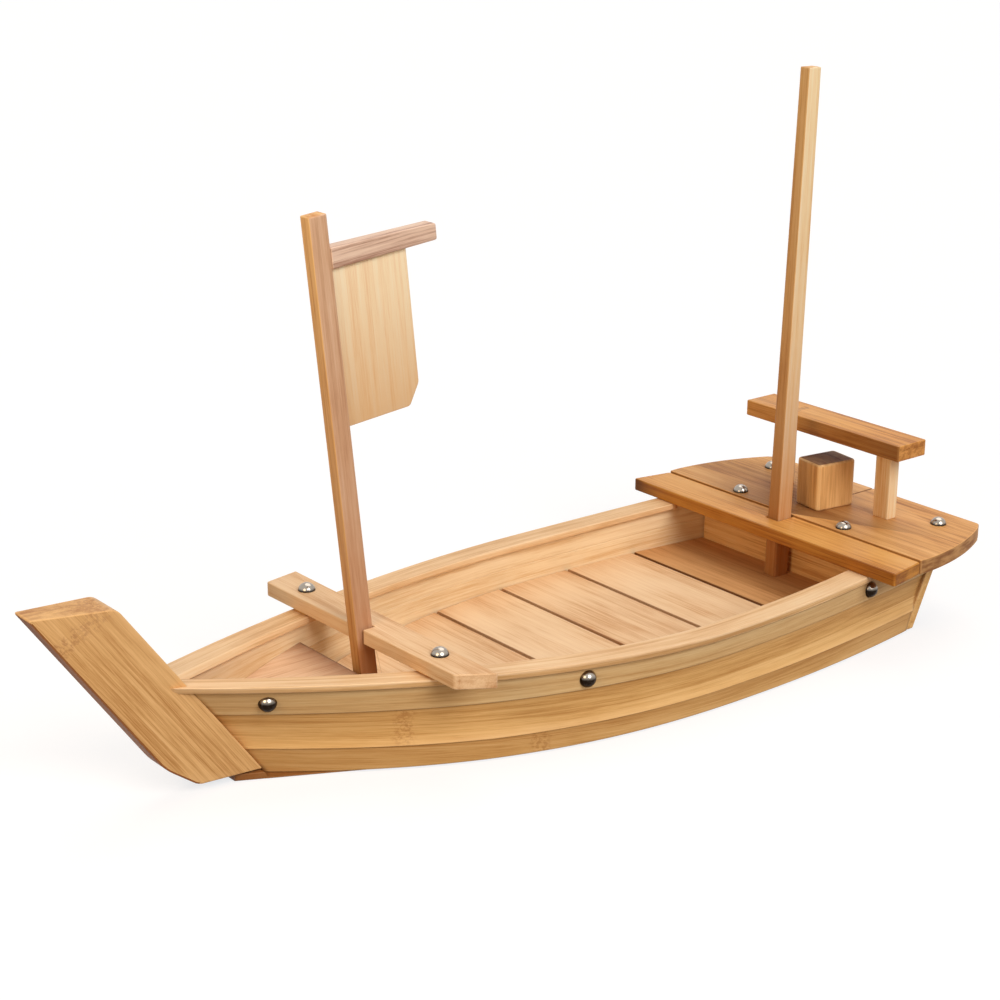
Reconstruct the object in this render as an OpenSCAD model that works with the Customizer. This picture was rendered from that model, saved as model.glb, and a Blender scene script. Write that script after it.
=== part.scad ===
// Serving boat for sushi: a flat-bottomed wooden hull with lapped side strakes,
// a planked floor, two cross beams, a stern deck with a rail, and two lift-out masts.
// X runs from bow to stern, Y to starboard, Z up. The origin is mid-length on the underside.

/* [Hull plan] */
// Half width of the boat over the rails
rail_half = 99; // [92:0.5:104]
// Where the rails are widest, measured from mid-length
rail_mid_x = 70; // [60:1:80]
// Distance over which the rail closes to the centre line at the bow
rail_fore = 324; // [318:1:330]
// Fullness of the rail curve towards the bow
rail_fore_power = 1.71; // [1.66:0.01:1.76]
// Distance over which the rail would close towards the stern
rail_aft = 490; // [470:1:520]
// Half width of the sides at their lower edge
foot_half = 98; // [92:0.5:102]
// Where the lower edge is widest, measured from mid-length
foot_mid_x = 99; // [92:1:105]
// Distance over which the lower edge closes to the centre line at the bow
foot_fore = 288; // [286:1:292]
// Fullness of the lower edge towards the bow
foot_fore_power = 2.38; // [2.3:0.01:2.45]
// Distance over which the lower edge would close towards the stern
foot_aft = 423; // [410:1:450]

/* [Sheer] */
// Height of the rail at its lowest point
sheer_low = 46.2; // [44:0.1:48]
// Where the rail is lowest, measured from mid-length
sheer_low_x = 74; // [65:1:85]
// Rise of the rail from its lowest point to its tip at the stem
sheer_rise = 18.4; // [16:0.1:20]
// Fullness of the rise
sheer_power = 1.69; // [1.6:0.01:1.8]
// Height of the flat shelf that carries the rear beam and the stern deck
shelf_z = 48.4; // [48.2:0.1:50]

/* [Sides] */
// Thickness of the rail cap
cap_t = 4; // [3:0.1:5]
// Width of the rail cap
cap_w = 15.7; // [14.5:0.1:17]
// Front end of the rail caps, from mid-length
cap_front_x = -228; // [-230:0.5:-226]
// Rear end of the rail caps, under the rear beam
cap_rear_x = 200; // [198:0.5:202]
// Depth of the side wall measured in from the line between rail and lower edge
wall = 11.5; // [10.5:0.1:12.5]
// Set-back of the upper strake behind the rail edge
upper_in = 2.6; // [1.5:0.1:3.5]
// Set-back of the middle strake's top edge
cove_in = 3.6; // [2.8:0.1:4.5]
// Set-back of the lower strake under the ledge
lower_in = 1.3; // [0.6:0.1:2]
// Share of the side's height above the seam of upper and middle strake
seam_upper = 0.354; // [0.32:0.002:0.38]
// Share of the side's height above the ledge of the middle strake
seam_ledge = 0.764; // [0.74:0.002:0.79]
// Height of the lower edge of the sides amidships
side_lift = 0.5; // [0.3:0.1:1]
// Where the lower edge starts to climb onto the bottom board, towards the bow
lift_start_x = -70; // [-75:1:-60]
// Distance over which it climbs
lift_run = 107; // [104:1:112]

/* [Stem and transom] */
// Thickness of the stem board at its rear edge
stem_t = 24; // [23:0.1:25]
// Thickness of the stem board at its front edge
stem_front_t = 15; // [12:0.1:20]
// Width of the stem board along the boat, at the ground
stem_deep = 45.5; // [40:0.1:50]
// Lean of the stem's rear edge from upright, in degrees
stem_lean = 36; // [35.5:0.1:36.5]
// Lean of the stem's front edge from upright, in degrees
stem_front_lean = 35.1; // [34:0.1:37]
// Where the stem's rear edge would reach the ground
stem_foot_x = -174.1; // [-175:0.1:-173]
// Height of the stem's tip
stem_top = 117.6; // [112:0.1:126]
// Drop of the stem's top edge from front to rear
stem_top_drop = 3.6; // [2:0.1:10]
// Gap between the bottom board and the stem's lower end
stem_gap = 1; // [0.5:0.1:2]
// Length of the stem's lower end along the boat
stem_foot = 36.3; // [32:0.1:40]
// Height of the bevel at the stem's lower front corner
stem_bevel = 13.6; // [10:0.1:18]
// Thickness of the transom board
transom_t = 5.5; // [5:0.1:7]
// Lean of the transom from upright, in degrees
transom_lean = 33.8; // [32:0.1:35]
// Where the transom's rear face would reach the ground
transom_foot_x = 247.6; // [246:0.1:249]

/* [Bottom and floor] */
// Thickness of the bottom board
bottom_t = 4; // [3.5:0.1:4.5]
// Front tip of the bottom board
bottom_front_x = -192; // [-196:0.5:-188]
// Half width of the bottom board at its front tip
tip_half = 7.7; // [6:0.1:9]
// Growth of the half width behind the tip
tip_slope = 0.5; // [0.46:0.01:0.53]
// Front end of the narrower part that lies between the sides
bottom_step_x = -100; // [-104:0.5:-96]
// Height of the floor's upper face
floor_z = 19; // [18:0.1:21]
// Thickness of a floor plank
plank_t = 5; // [4:0.1:6]
// Open groove between two floor planks
groove = 1.9; // [0.8:0.1:2.4]
// Width of a floor plank along the boat
plank_pitch = 54.4; // [50:0.2:56]
// Width of the rearmost floor plank, with its groove
last_plank = 57.4; // [54:0.2:60]
// Width of a floor batten
batten_w = 14; // [10:0.5:16]
// Gap between an outer batten's front end and the side
batten_clear = 2; // [1:0.1:10]

/* [Bow and bulkheads] */
// Height of the bow deck's upper face
bow_deck_z = 41; // [39:0.1:43]
// Thickness of the bow deck
bow_deck_t = 5; // [4:0.1:7]
// Rear edge of the bow deck
bow_deck_x = -114.5; // [-117:0.1:-113.5]
// Thickness of the two bulkheads
bulkhead_t = 8; // [6:0.1:10]
// Front face of the stern bulkhead
stern_bulkhead_x = 225; // [224.6:0.1:228]

/* [Beams] */
// Front edge of the front beam
front_beam_x = -109.8; // [-111:0.1:-108.6]
// Width of the front beam along the boat
front_beam_w = 22.8; // [22:0.1:26]
// Loss of the front beam's width at its port end
front_beam_taper = 3.6; // [0:0.1:5]
// Reach of the front beam to starboard at its front edge
front_beam_half = 86.7; // [80:0.1:95]
// Extra reach to starboard at its rear edge
front_beam_splay = 4.5; // [2:0.1:12]
// Reach of the front beam to port at its front edge
front_beam_port = 84; // [80:0.1:95]
// Extra reach to port at its rear edge
front_beam_port_splay = 12.3; // [4:0.1:14]
// Thickness of the front beam
front_beam_t = 8.4; // [7:0.1:10]
// Gap between the rail and the front beam's underside, at the beam's front edge
front_beam_gap = 1; // [0.8:0.1:3]
// Front edge of the rear beam
rear_beam_x = 195.8; // [195:0.1:197]
// Rear edge of the rear beam
rear_beam_rear_x = 223.3; // [223:0.1:224]
// Half length of the rear beam at its front edge
rear_beam_half = 113.8; // [108:0.1:120]
// Loss of half length towards the rear edge
rear_beam_taper = 4.8; // [2:0.1:8]
// Thickness of the rear beam
rear_beam_t = 8; // [7:0.1:9]

/* [Stern deck] */
// Thickness of the stern deck
deck_t = 9; // [8:0.1:10]
// Rear edge of the stern deck
deck_rear_x = 303; // [298:0.5:308]
// Half width of the deck where it meets the rear beam
deck_half = 109.5; // [106:0.1:112]
// Radius of the deck's curved side
deck_round = 160; // [145:1:190]
// Seam between the two halves, and between deck and beam
deck_seam = 0.4; // [0.3:0.05:0.8]

/* [Stern rail and cabin] */
// Half length of the rail bar
bar_half = 65; // [60:0.1:70]
// Front edge of the rail bar
bar_x = 248.6; // [247:0.1:250]
// Width of the rail bar
bar_w = 25.4; // [23:0.1:27]
// Thickness of the rail bar
bar_t = 10; // [9:0.1:11]
// Height of the rail bar's underside above the deck
bar_gap = 44.9; // [40:0.1:52]
// Width of a rail post across the boat
post_w = 12.4; // [10:0.1:14]
// Depth of a rail post along the boat
post_d = 8.2; // [6:0.1:9]
// Distance of the port post's middle from the centre line
post_port_y = 41.5; // [38:0.1:44]
// Distance of the starboard post's middle from the centre line
post_starboard_y = 46; // [43:0.1:50]
// Distance of a post from the bar's rear edge
post_in = 3; // [0:0.1:6]
// Length of the cabin block
cabin_l = 29.5; // [26:0.5:31]
// Width of the cabin block
cabin_w = 22.5; // [21:0.5:26]
// Height of the cabin block
cabin_h = 30.5; // [26:0.5:36]
// Middle of the cabin block
cabin_x = 255.5; // [254.5:0.5:258]
// Turn of the cabin block on the deck, in degrees
cabin_turn = -8; // [-14:0.5:0]

/* [Masts and sail] */
// Width of the front mast across the boat
front_mast_w = 8.6; // [7.6:0.1:9.4]
// Depth of the front mast along the boat
front_mast_d = 11; // [10:0.1:11.5]
// Where the front mast's axis meets the floor
front_mast_x = -101.2; // [-101.6:0.1:-100.8]
// Forward lean of the front mast, in degrees
front_mast_lean = 6; // [5.8:0.1:6.2]
// Length of the front mast above the floor
front_mast_l = 273; // [250:1:290]
// Width of the rear mast across the boat
rear_mast_w = 9.4; // [8.8:0.1:10]
// Depth of the rear mast along the boat
rear_mast_d = 12; // [11:0.1:12.4]
// Where the rear mast's axis meets the floor
rear_mast_x = 215; // [214.7:0.1:215.2]
// Rearward lean of the rear mast, in degrees
rear_mast_lean = 1.6; // [1.2:0.1:2]
// Length of the rear mast above the floor
rear_mast_l = 317; // [290:1:340]
// Share of the rear mast's section that is left at its top
rear_mast_top = 0.83; // [0.8:0.01:1]
// Play of a mast in its notch and foot socket, on each side
mast_play = 0.4; // [0.3:0.05:0.6]
// Gap beside the front mast in its notch
notch_gap = 1.3; // [0.5:0.1:1.8]
// Height of the step that holds the front mast's foot
step_h = 12; // [9:0.5:14]
// Length of the step along the boat
step_l = 19; // [17:0.5:20]
// Width of the sail board
sail_w = 47.3; // [44:0.1:56]
// Height of the sail board below the yard
sail_h = 85.5; // [80:0.5:100]
// Thickness of the sail board
sail_t = 4; // [3:0.1:4.5]
// Height of the sail board's lower edge along the mast, above the floor
sail_foot = 158.5; // [150:0.5:165]
// Cut of the sail board's lower rear corner, along the lower edge
sail_cut = 7; // [4:0.5:12]
// Cut of the same corner, up the rear edge
sail_cut_h = 11.5; // [6:0.5:14]
// Depth to which the sail board sits in the mast and the yard
sail_tongue = 2.5; // [1.5:0.1:3]
// Length of the yard
yard_l = 66; // [60:0.5:74]
// Height of the yard at the mast
yard_h = 11; // [9:0.1:12]
// Height of the yard at its free end
yard_end_h = 9; // [8:0.1:10]
// Width of the yard across the boat
yard_w = 8.8; // [8:0.1:10]

/* [Fasteners] */
// Diameter of a dome nail's head
nail_head = 10; // [9:0.1:11]
// Height of a dome nail's head
nail_dome = 4.4; // [3:0.1:4.6]
// Diameter of a nail's shank
nail_d = 2; // [1.6:0.1:2.4]
// Length of the nails in the beam and the deck
nail_l = 12; // [11:0.1:13]
// Length of the nails in the sides
side_nail_l = 7; // [5:0.1:7.5]
// Diameter of a wooden dowel
dowel_d = 4; // [3.5:0.1:4.5]
// Depth of a dowel in each of its two pieces
dowel_in = 5; // [4:0.1:5.5]
// Room round a nail or dowel in its hole
hole_play = 0.05; // [0.03:0.01:0.1]
// Gap left between pieces that lie side by side
fit = 0.2; // [0.15:0.01:0.3]

/* [Hidden] */
$fn = 48;
SIDES = ["port", "starboard"];
STRAKES = ["lower_strake", "middle_strake", "upper_strake", "rail_cap", "riser"];
PLANKS = 6;

pale = "#e9c795";
honey = "#d9a866";
amber = "#c58a45";
steel = "#c8ccd0";

stem_rake = tan(stem_lean);
transom_rake = tan(transom_lean);
stations = 40;
deck_z = shelf_z + deck_t;
bar_z = deck_z + bar_gap;
plank_z = floor_z - plank_t;
batten_h = plank_z - bottom_t;
deck_front_x = rear_beam_rear_x + deck_seam;

// Half width of the sides at the rail and at the lower edge, at a place along the boat.
function closing(d, fore, power, aft) = d < 0 ? pow(-d / fore, power) : pow(d / aft, 2);
function rail_y(x) =
    rail_half * (1 - closing(x - rail_mid_x, rail_fore, rail_fore_power, rail_aft));
function foot_y(x) =
    foot_half * (1 - closing(x - foot_mid_x, foot_fore, foot_fore_power, foot_aft));

// Height of the rail's upper face: it rises to the stem and runs into the flat stern shelf.
function sheer(x) =
    let (d = x - sheer_low_x)
    d < 0 ? sheer_low + sheer_rise * pow(d / (cap_front_x - sheer_low_x), sheer_power)
        : sheer_low + (shelf_z - sheer_low) * pow(min(d / (cap_rear_x - sheer_low_x), 1), 2);

// Height of the sides' lower edge: it climbs onto the bottom board at the bow.
function foot_z(x) =
    side_lift + (bottom_t - side_lift) * max(0, min(1, (lift_start_x - x) / lift_run));

// Heights of the front beam's lower and upper face.
front_beam_z = sheer(front_beam_x) + front_beam_gap;
beam_top = front_beam_z + front_beam_t;

// Half width at a height, on the straight line between rail and lower edge, and inside the wall.
function side_y(x, z) =
    let (share = (sheer(x) - z) / (sheer(x) - foot_z(x)))
    rail_y(x) + (foot_y(x) - rail_y(x)) * share;
function inner_y(x, z) = max(side_y(x, z) - wall, side_y(x, z) / 3);

// Rear face of the stem and front face of the transom, which end the sides.
function stem_back(z) = stem_foot_x - stem_rake * z;
function transom_back(z) = transom_foot_x + transom_rake * z;
function transom_front(z) = transom_back(z) - transom_t / cos(transom_lean);

// Height of a seam line that divides the side in a fixed share.
function seam_z(x, share) = sheer(x) - (sheer(x) - foot_z(x)) * share;

// Place along the boat of station u of a line, so that its ends lie on stem and transom.
function line_z(x, share, drop) = share == undef ? sheer(x) - drop : seam_z(x, share);
function line_x(u, share, drop, from, to, x = 0, turns = 6) =
    let (z = line_z(x, share, drop))
    let (a = from == undef ? stem_back(z) : from)
    let (b = to == undef ? transom_front(z) : to)
    let (next = a + (b - a) * u)
    turns == 0 ? next : line_x(u, share, drop, from, to, next, turns - 1);

// A section corner is [share, drop, set-back]; no set-back means the wall's inner face.
function corner(c, u, from, to) =
    let (x = line_x(u, c[0], c[1], from, to))
    let (z = line_z(x, c[0], c[1]))
    let (y = c[2] == undef ? inner_y(x, z) : side_y(x, z) - c[2])
    [x, max(y, fit), z];

// A closed skin over a row of rings that have the same number of corners.
module loft(rings) {
    n = len(rings[0]);
    last = len(rings) - 1;
    points = [for (r = rings, p = r) p];
    walls = [for (i = [0:last - 1], k = [0:n - 1])
        let (a = i * n + k)
        let (b = i * n + (k + 1) % n)
        each [[a, b + n, b], [a, a + n, b + n]]];
    front = [for (k = [1:n - 2]) [0, k, k + 1]];
    rear = [for (k = [1:n - 2]) [0, k + 1, k] + [1, 1, 1] * last * n];
    polyhedron(points, concat(walls, front, rear), convexity = 8);
}

// A strip of the side: one ring of section corners at each station.
module strip(corners, side, from = undef, to = undef) {
    mirror([0, side == "port" ? 1 : 0, 0])
        loft([for (i = [0:stations]) [for (c = corners) corner(c, i / stations, from, to)]]);
}

// Pieces of the sides.
cove_steps = 4;
cove = [for (i = [0:cove_steps])
    let (t = i / cove_steps)
    [seam_upper + (seam_ledge - seam_upper) * t, undef, cove_in * (1 - t * t)]];

module lower_strake(side) {
    color(honey)
        strip([[seam_ledge, undef, lower_in], [seam_ledge, undef, undef],
               [1, undef, undef], [1, undef, 0]], side);
}

module middle_strake(side) {
    color(honey)
        strip(concat([[seam_upper, undef, undef], [seam_ledge, undef, undef]],
                     [for (i = [cove_steps:-1:0]) cove[i]]), side);
}

module upper_strake(side) {
    color(honey)
        difference() {
            strip([[undef, cap_t, upper_in], [undef, cap_t, undef],
                   [seam_upper, undef, undef], [seam_upper, undef, upper_in]], side);
            side_nail_places(side) {
                nail_hole(side_nail_l);
                nail_seat();
            }
            rear_dowel_place(side)
                dowel_hole();
        }
}

module rail_cap(side) {
    color(pale)
        difference() {
            strip([[undef, 0, 0], [undef, 0, cap_w], [undef, cap_t, cap_w], [undef, cap_t, 0]],
                  side, cap_front_x, cap_rear_x);
            stem_blank(fit / 2);
            front_beam_nail_place(side)
                nail_hole(nail_l);
        }
}

module riser(side) {
    color(honey)
        difference() {
            strip([[undef, 0, upper_in], [undef, 0, undef],
                   [undef, cap_t, undef], [undef, cap_t, upper_in]], side, cap_rear_x + fit);
            rear_dowel_place(side)
                dowel_hole();
        }
}

// Bottom board: between the lower strakes amidships, and under them as a thin sole at the bow.
function bottom_y(x) = min(inner_y(x, foot_z(x)), inner_y(x, bottom_t)) - fit;
function sole_y(x) = max(foot_y(x), tip_half + tip_slope * (x - bottom_front_x)) - fit;
function sole_z(x) = foot_z(x) - fit;
function bottom_ring(x, y, z) = [[x, y, z], [x, -y, z], [x, -y, 0], [x, y, 0]];

module bottom_board() {
    rear_x = transom_front(0) - fit;
    sole_steps = 20;
    sole = [for (i = [0:sole_steps])
        let (x = bottom_front_x + (bottom_step_x - bottom_front_x) * i / sole_steps)
        bottom_ring(x, sole_y(x), sole_z(x))];
    a = bottom_step_x + 0.5;
    step = [bottom_ring(a, bottom_y(a), sole_z(bottom_step_x))];
    plate = [for (i = [0:stations])
        let (x = a + 0.5 + (rear_x - a - 0.5) * i / stations)
        bottom_ring(x, bottom_y(x), bottom_t)];
    color(honey)
        loft(concat(sole, step, plate));
}

// Floor: planks across the boat on three battens.
floor_front_x = bow_deck_x + fit;
floor_rear_x = stern_bulkhead_x - fit;
batten_y = inner_y(floor_front_x, bottom_t) - batten_clear - batten_w / 2;
function plank_rear(i) =
    i == PLANKS ? floor_rear_x : floor_rear_x - last_plank - (PLANKS - 1 - i) * plank_pitch;
function plank_front(i) = i == 1 ? floor_front_x : plank_rear(i - 1) + groove;

module floor_batten(y) {
    color(honey)
        translate([floor_front_x, y - batten_w / 2, bottom_t])
            cube([floor_rear_x - floor_front_x, batten_w, batten_h]);
}

module floor_plank(i) {
    a = plank_front(i);
    b = plank_rear(i);
    steps = 8;
    xs = [for (k = [0:steps]) a + (b - a) * k / steps];
    right = [for (x = xs) [x, inner_y(x, plank_z) - 2 * fit]];
    left = [for (k = [steps:-1:0]) [right[k][0], -right[k][1]]];
    color(pale)
        difference() {
            translate([0, 0, plank_z])
                linear_extrude(plank_t)
                    polygon(concat(right, left));
            if (i == PLANKS)
                rear_mast_frame()
                    mast_hole(rear_mast_w, rear_mast_d, rear_mast_l);
        }
}

// Stem board: a leaning plank, thinner at its front edge, with a bevelled lower front corner.
stem_low = bottom_t + stem_gap;
function stem_front(z) = stem_foot_x - stem_deep - tan(stem_front_lean) * z;

module stem_blank(grow = 0) {
    rear_top = stem_top - stem_top_drop;
    foot_x = stem_back(stem_low) - stem_foot;
    outline = [
        [stem_back(stem_low), stem_low],
        [stem_back(rear_top), rear_top],
        [stem_front(stem_top), stem_top],
        [stem_front(stem_low + stem_bevel), stem_low + stem_bevel],
        [foot_x, stem_low]
    ];
    slope = (stem_t - stem_front_t) / 2 / (stem_deep * cos(stem_lean));
    reach = 50;
    spare = 5;
    rear_half = stem_t / 2 + grow + slope * spare;
    front_half = stem_t / 2 + grow - slope * reach;
    intersection() {
        translate([0, stem_t, 0])
            rotate([90, 0, 0])
                linear_extrude(2 * stem_t)
                    translate([grow, 0])
                        polygon(outline);
        translate([stem_foot_x, 0, 0])
            rotate([0, -stem_lean, 0])
                translate([0, 0, -stem_top / 2])
                    linear_extrude(2 * stem_top)
                        polygon([[spare, -rear_half], [spare, rear_half],
                                 [-reach, front_half], [-reach, -front_half]]);
    }
}

module stem_board() {
    color(honey)
        stem_blank();
}

// Transom: a leaning plate on the rear ends of the sides and the bottom.
module transom() {
    low = side_lift;
    edge_low = side_y(transom_front(low), low) - lower_in / 2;
    edge_high = side_y(transom_front(shelf_z), shelf_z) - upper_in;
    spare = 10;
    flare = (edge_high - edge_low) / (shelf_z - low) * spare;
    color(honey)
        intersection() {
            translate([0, rail_half, 0])
                rotate([90, 0, 0])
                    linear_extrude(2 * rail_half)
                        polygon([[transom_front(low), low], [transom_back(low), low],
                                 [transom_back(shelf_z), shelf_z], [transom_front(shelf_z), shelf_z]]);
            translate([transom_front(low) - spare, 0, 0])
                rotate([90, 0, 90])
                    linear_extrude(transom_back(shelf_z) - transom_front(low) + 2 * spare)
                        polygon([[-edge_low + flare, low - spare], [edge_low - flare, low - spare],
                                 [edge_high + flare, shelf_z + spare], [-edge_high - flare, shelf_z + spare]]);
        }
}

// Bow deck: a flat piece with its edges cut to the leaning sides, on the bow bulkhead.
module bow_deck() {
    low = bow_deck_z - bow_deck_t;
    steps = 12;
    function deck_x(i, z) =
        let (front = stem_back(z) + fit / 2)
        front + (bow_deck_x - front) * i / steps;
    function deck_edge(i, z, sign) = [deck_x(i, z), sign * (inner_y(deck_x(i, z), z) - fit), z];
    color(pale)
        loft([for (i = [0:steps])
            [deck_edge(i, bow_deck_z, 1), deck_edge(i, bow_deck_z, -1),
             deck_edge(i, low, -1), deck_edge(i, low, 1)]]);
}

// Upright plate across the hull, cut to the inside of the sides.
module bulkhead(front, tight, low, high) {
    a = inner_y(tight, low) - fit;
    b = inner_y(tight, high) - fit;
    translate([front, 0, 0])
        rotate([90, 0, 90])
            linear_extrude(bulkhead_t)
                polygon([[-a, low], [a, low], [b, high], [-b, high]]);
}

module bow_bulkhead() {
    front = bow_deck_x - bulkhead_t;
    color(honey)
        bulkhead(front, front, bottom_t, bow_deck_z - bow_deck_t);
}

module stern_bulkhead() {
    color(amber)
        difference() {
            bulkhead(stern_bulkhead_x, stern_bulkhead_x + bulkhead_t, bottom_t, shelf_z);
            deck_front_nail_places()
                nail_hole(nail_l);
        }
}

// Cross beams.
module front_beam() {
    color(pale)
        difference() {
            translate([front_beam_x, 0, front_beam_z])
                linear_extrude(front_beam_t)
                    polygon([[front_beam_taper, -front_beam_port],
                             [front_beam_w, -front_beam_port - front_beam_port_splay],
                             [front_beam_w, front_beam_half + front_beam_splay], [0, front_beam_half]]);
            front_mast_frame()
                mast_hole(front_mast_w + 2 * (notch_gap - mast_play), front_mast_d, front_mast_l,
                          front = 20);
            for (s = SIDES)
                front_beam_nail_place(s)
                    nail_hole(nail_l);
        }
}

// Tapered packing between the sloping rails and the level front beam.
wedge_in = 2;
wedge_w = 11;

module front_beam_wedges() {
    color(honey)
        for (s = SIDES)
            difference() {
                front_beam_wedge(s);
                front_beam_nail_place(s)
                    nail_hole(nail_l);
            }
}

module front_beam_wedge(side) {
    steps = 4;
    a = front_beam_x + 2 + (side == "port" ? front_beam_taper : 0);
    b = front_beam_x + front_beam_w - 2;
    xs = [for (i = [0:steps]) a + (b - a) * i / steps];
    seat = [for (x = xs) [x, sheer_seat(x)]];
    mirror([0, side == "port" ? 1 : 0, 0])
        intersection() {
            translate([0, rail_half, 0])
                rotate([90, 0, 0])
                    linear_extrude(rail_half)
                        polygon(concat(seat, [[b, front_beam_z], [a, front_beam_z]]));
            linear_extrude(2 * front_beam_z)
                polygon([[a - 1, rail_y(a) - wedge_in - wedge_w], [b + 1, rail_y(b) - wedge_in - wedge_w],
                         [b + 1, rail_y(b) - wedge_in], [a - 1, rail_y(a) - wedge_in]]);
        }
}

// Straight facets of the rail's upper face, between the same stations as the rail cap.
function cap_station(x) = (x - cap_front_x) / (cap_rear_x - cap_front_x) * stations;
function station_x(k) = cap_front_x + (cap_rear_x - cap_front_x) * k / stations;
function sheer_seat(x) =
    let (k = floor(cap_station(x)))
    let (t = cap_station(x) - k)
    sheer(station_x(k)) * (1 - t) + sheer(station_x(k + 1)) * t;

module rear_beam() {
    rear = rear_beam_half - rear_beam_taper;
    color(amber)
        difference() {
            translate([0, 0, shelf_z])
                linear_extrude(rear_beam_t)
                    polygon([[rear_beam_x, -rear_beam_half], [rear_beam_rear_x, -rear],
                             [rear_beam_rear_x, rear], [rear_beam_x, rear_beam_half]]);
            rear_mast_frame()
                mast_hole(rear_mast_w, rear_mast_d, rear_mast_l, back = 20);
            for (s = SIDES)
                rear_dowel_place(s)
                    dowel_hole();
        }
}

module rear_beam_dowels() {
    color(pale)
        for (s = SIDES)
            rear_dowel_place(s)
                dowel();
}

// Stern deck: two boards with a seam on the centre line, each with a round outer edge.
module deck_board(side) {
    mirror([0, side == "port" ? 1 : 0, 0])
        translate([0, 0, shelf_z])
            linear_extrude(deck_t)
                intersection() {
                    translate([deck_front_x, deck_half - deck_round])
                        circle(deck_round, $fn = 180);
                    translate([deck_front_x, deck_seam / 2])
                        square([deck_rear_x - deck_front_x, deck_half]);
                }
}

module stern_deck(side) {
    color(honey)
        difference() {
            deck_board(side);
            deck_front_nail_places()
                nail_hole(nail_l);
            deck_rear_nail_places()
                nail_hole(nail_l);
            post_place(side)
                dowel_hole();
            cabin_dowel_places()
                dowel_hole();
            deck_batten_dowel_places()
                dowel_hole();
        }
}

// Batten under the deck's overhang, close behind the transom, which ties the two boards.
deck_batten_d = 10;
deck_batten_h = 8;
deck_batten_x = transom_back(shelf_z) + fit;
deck_batten_half = 74;

module deck_batten() {
    color(honey)
        difference() {
            translate([deck_batten_x, -deck_batten_half, shelf_z - deck_batten_h])
                cube([deck_batten_d, 2 * deck_batten_half, deck_batten_h]);
            deck_rear_nail_places()
                nail_hole(nail_l);
            deck_batten_dowel_places()
                dowel_hole();
        }
}

module deck_batten_dowel_places() {
    for (y = [-24, 24])
        translate([deck_batten_x + deck_batten_d / 2, y, shelf_z])
            children();
}

module deck_batten_dowels() {
    color(pale)
        deck_batten_dowel_places()
            dowel();
}

// Stern rail: a bar on two posts, held by dowels.
post_x = bar_x + bar_w - post_d - post_in;

module rail_bar() {
    color(honey)
        difference() {
            translate([bar_x, -bar_half, bar_z])
                cube([bar_w, 2 * bar_half, bar_t]);
            for (s = SIDES)
                post_place(s)
                    translate([0, 0, bar_gap])
                        dowel_hole();
        }
}

module post_place(side) {
    translate([post_x + post_d / 2, side == "port" ? -post_port_y : post_starboard_y, deck_z])
        children();
}

module rail_post(side) {
    color(pale)
        difference() {
            post_place(side)
                translate([-post_d / 2, -post_w / 2, 0])
                    cube([post_d, post_w, bar_gap]);
            post_place(side)
                dowel_hole();
            post_place(side)
                translate([0, 0, bar_gap])
                    dowel_hole();
        }
}

module post_dowels() {
    color(pale)
        for (s = SIDES, z = [0, bar_gap])
            post_place(s)
                translate([0, 0, z])
                    dowel();
}

// Cabin block, a little turned, on two dowels that stand clear of the deck's centre seam.
module cabin_frame() {
    translate([cabin_x, -1, deck_z])
        rotate([0, 0, cabin_turn])
            children();
}

module cabin_block() {
    color(honey)
        difference() {
            cabin_frame()
                translate([-cabin_l / 2, -cabin_w / 2, 0])
                    cube([cabin_l, cabin_w, cabin_h]);
            cabin_dowel_places()
                dowel_hole();
        }
}

module cabin_dowel_places() {
    cabin_frame()
        for (y = [-cabin_w / 4 - 1, cabin_w / 4 + 1])
            translate([0, y, 0])
                children();
}

module cabin_dowels() {
    color(pale)
        cabin_dowel_places()
            dowel();
}

// Fasteners: dome-headed nails and plain dowels, with the holes that take them.
module nail(length) {
    sphere_r = (pow(nail_head / 2, 2) + pow(nail_dome, 2)) / (2 * nail_dome);
    arc = asin(nail_head / 2 / sphere_r);
    steps = 10;
    dome = [for (i = [0:steps])
        let (a = arc * (1 - i / steps))
        [sphere_r * sin(a), nail_dome - sphere_r + sphere_r * cos(a)]];
    rotate_extrude()
        polygon(concat([[0, -length + 2 * hole_play], [nail_d / 2, -length + 2 * hole_play],
                        [nail_d / 2, 0]], dome));
}

module nail_hole(length) {
    translate([0, 0, -length])
        cylinder(length + 2 * nail_dome, d = nail_d + 2 * hole_play);
}

// Flat seat cut into a bent face under a nail's head.
module nail_seat() {
    translate([0, 0, -hole_play])
        cylinder(nail_dome, d = nail_head + 2 * fit);
}

module dowel() {
    translate([0, 0, -dowel_in + hole_play])
        cylinder(2 * (dowel_in - hole_play), d = dowel_d);
}

module dowel_hole() {
    translate([0, 0, -dowel_in])
        cylinder(2 * dowel_in, d = dowel_d + 2 * hole_play);
}

// Nails of the sides, square to the upper strake in the middle of its height.
side_nail_x = [-182, -17, 203];

module side_nail_places(side) {
    for (x = side_nail_x) {
        high = sheer(x) - cap_t;
        low = seam_z(x, seam_upper);
        z = (high + low) / 2;
        y = side_y(x, z) - upper_in;
        yaw = atan2(side_y(x + 5, z) - side_y(x - 5, z), 10);
        flare = (side_y(x, high) - side_y(x, low)) / (high - low);
        mirror([0, side == "port" ? 1 : 0, 0])
            translate([x, y, z])
                rotate([0, 0, yaw])
                    rotate([-90 - atan(flare * cos(yaw)), 0, 0])
                        children();
    }
}

module side_nails() {
    color(steel)
        for (s = SIDES)
            side_nail_places(s)
                nail(side_nail_l);
}

// Nails of the front beam: the port one stands a little further in and aft.
function front_nail_x(side) = front_beam_x + (side == "port" ? 14 : 11);
function front_nail_y(side) = rail_y(front_nail_x(side)) - (side == "port" ? 9.4 : 4.4);

module front_beam_nail_place(side) {
    y = front_nail_y(side);
    translate([front_nail_x(side), side == "port" ? -y : y, beam_top])
        children();
}

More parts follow.
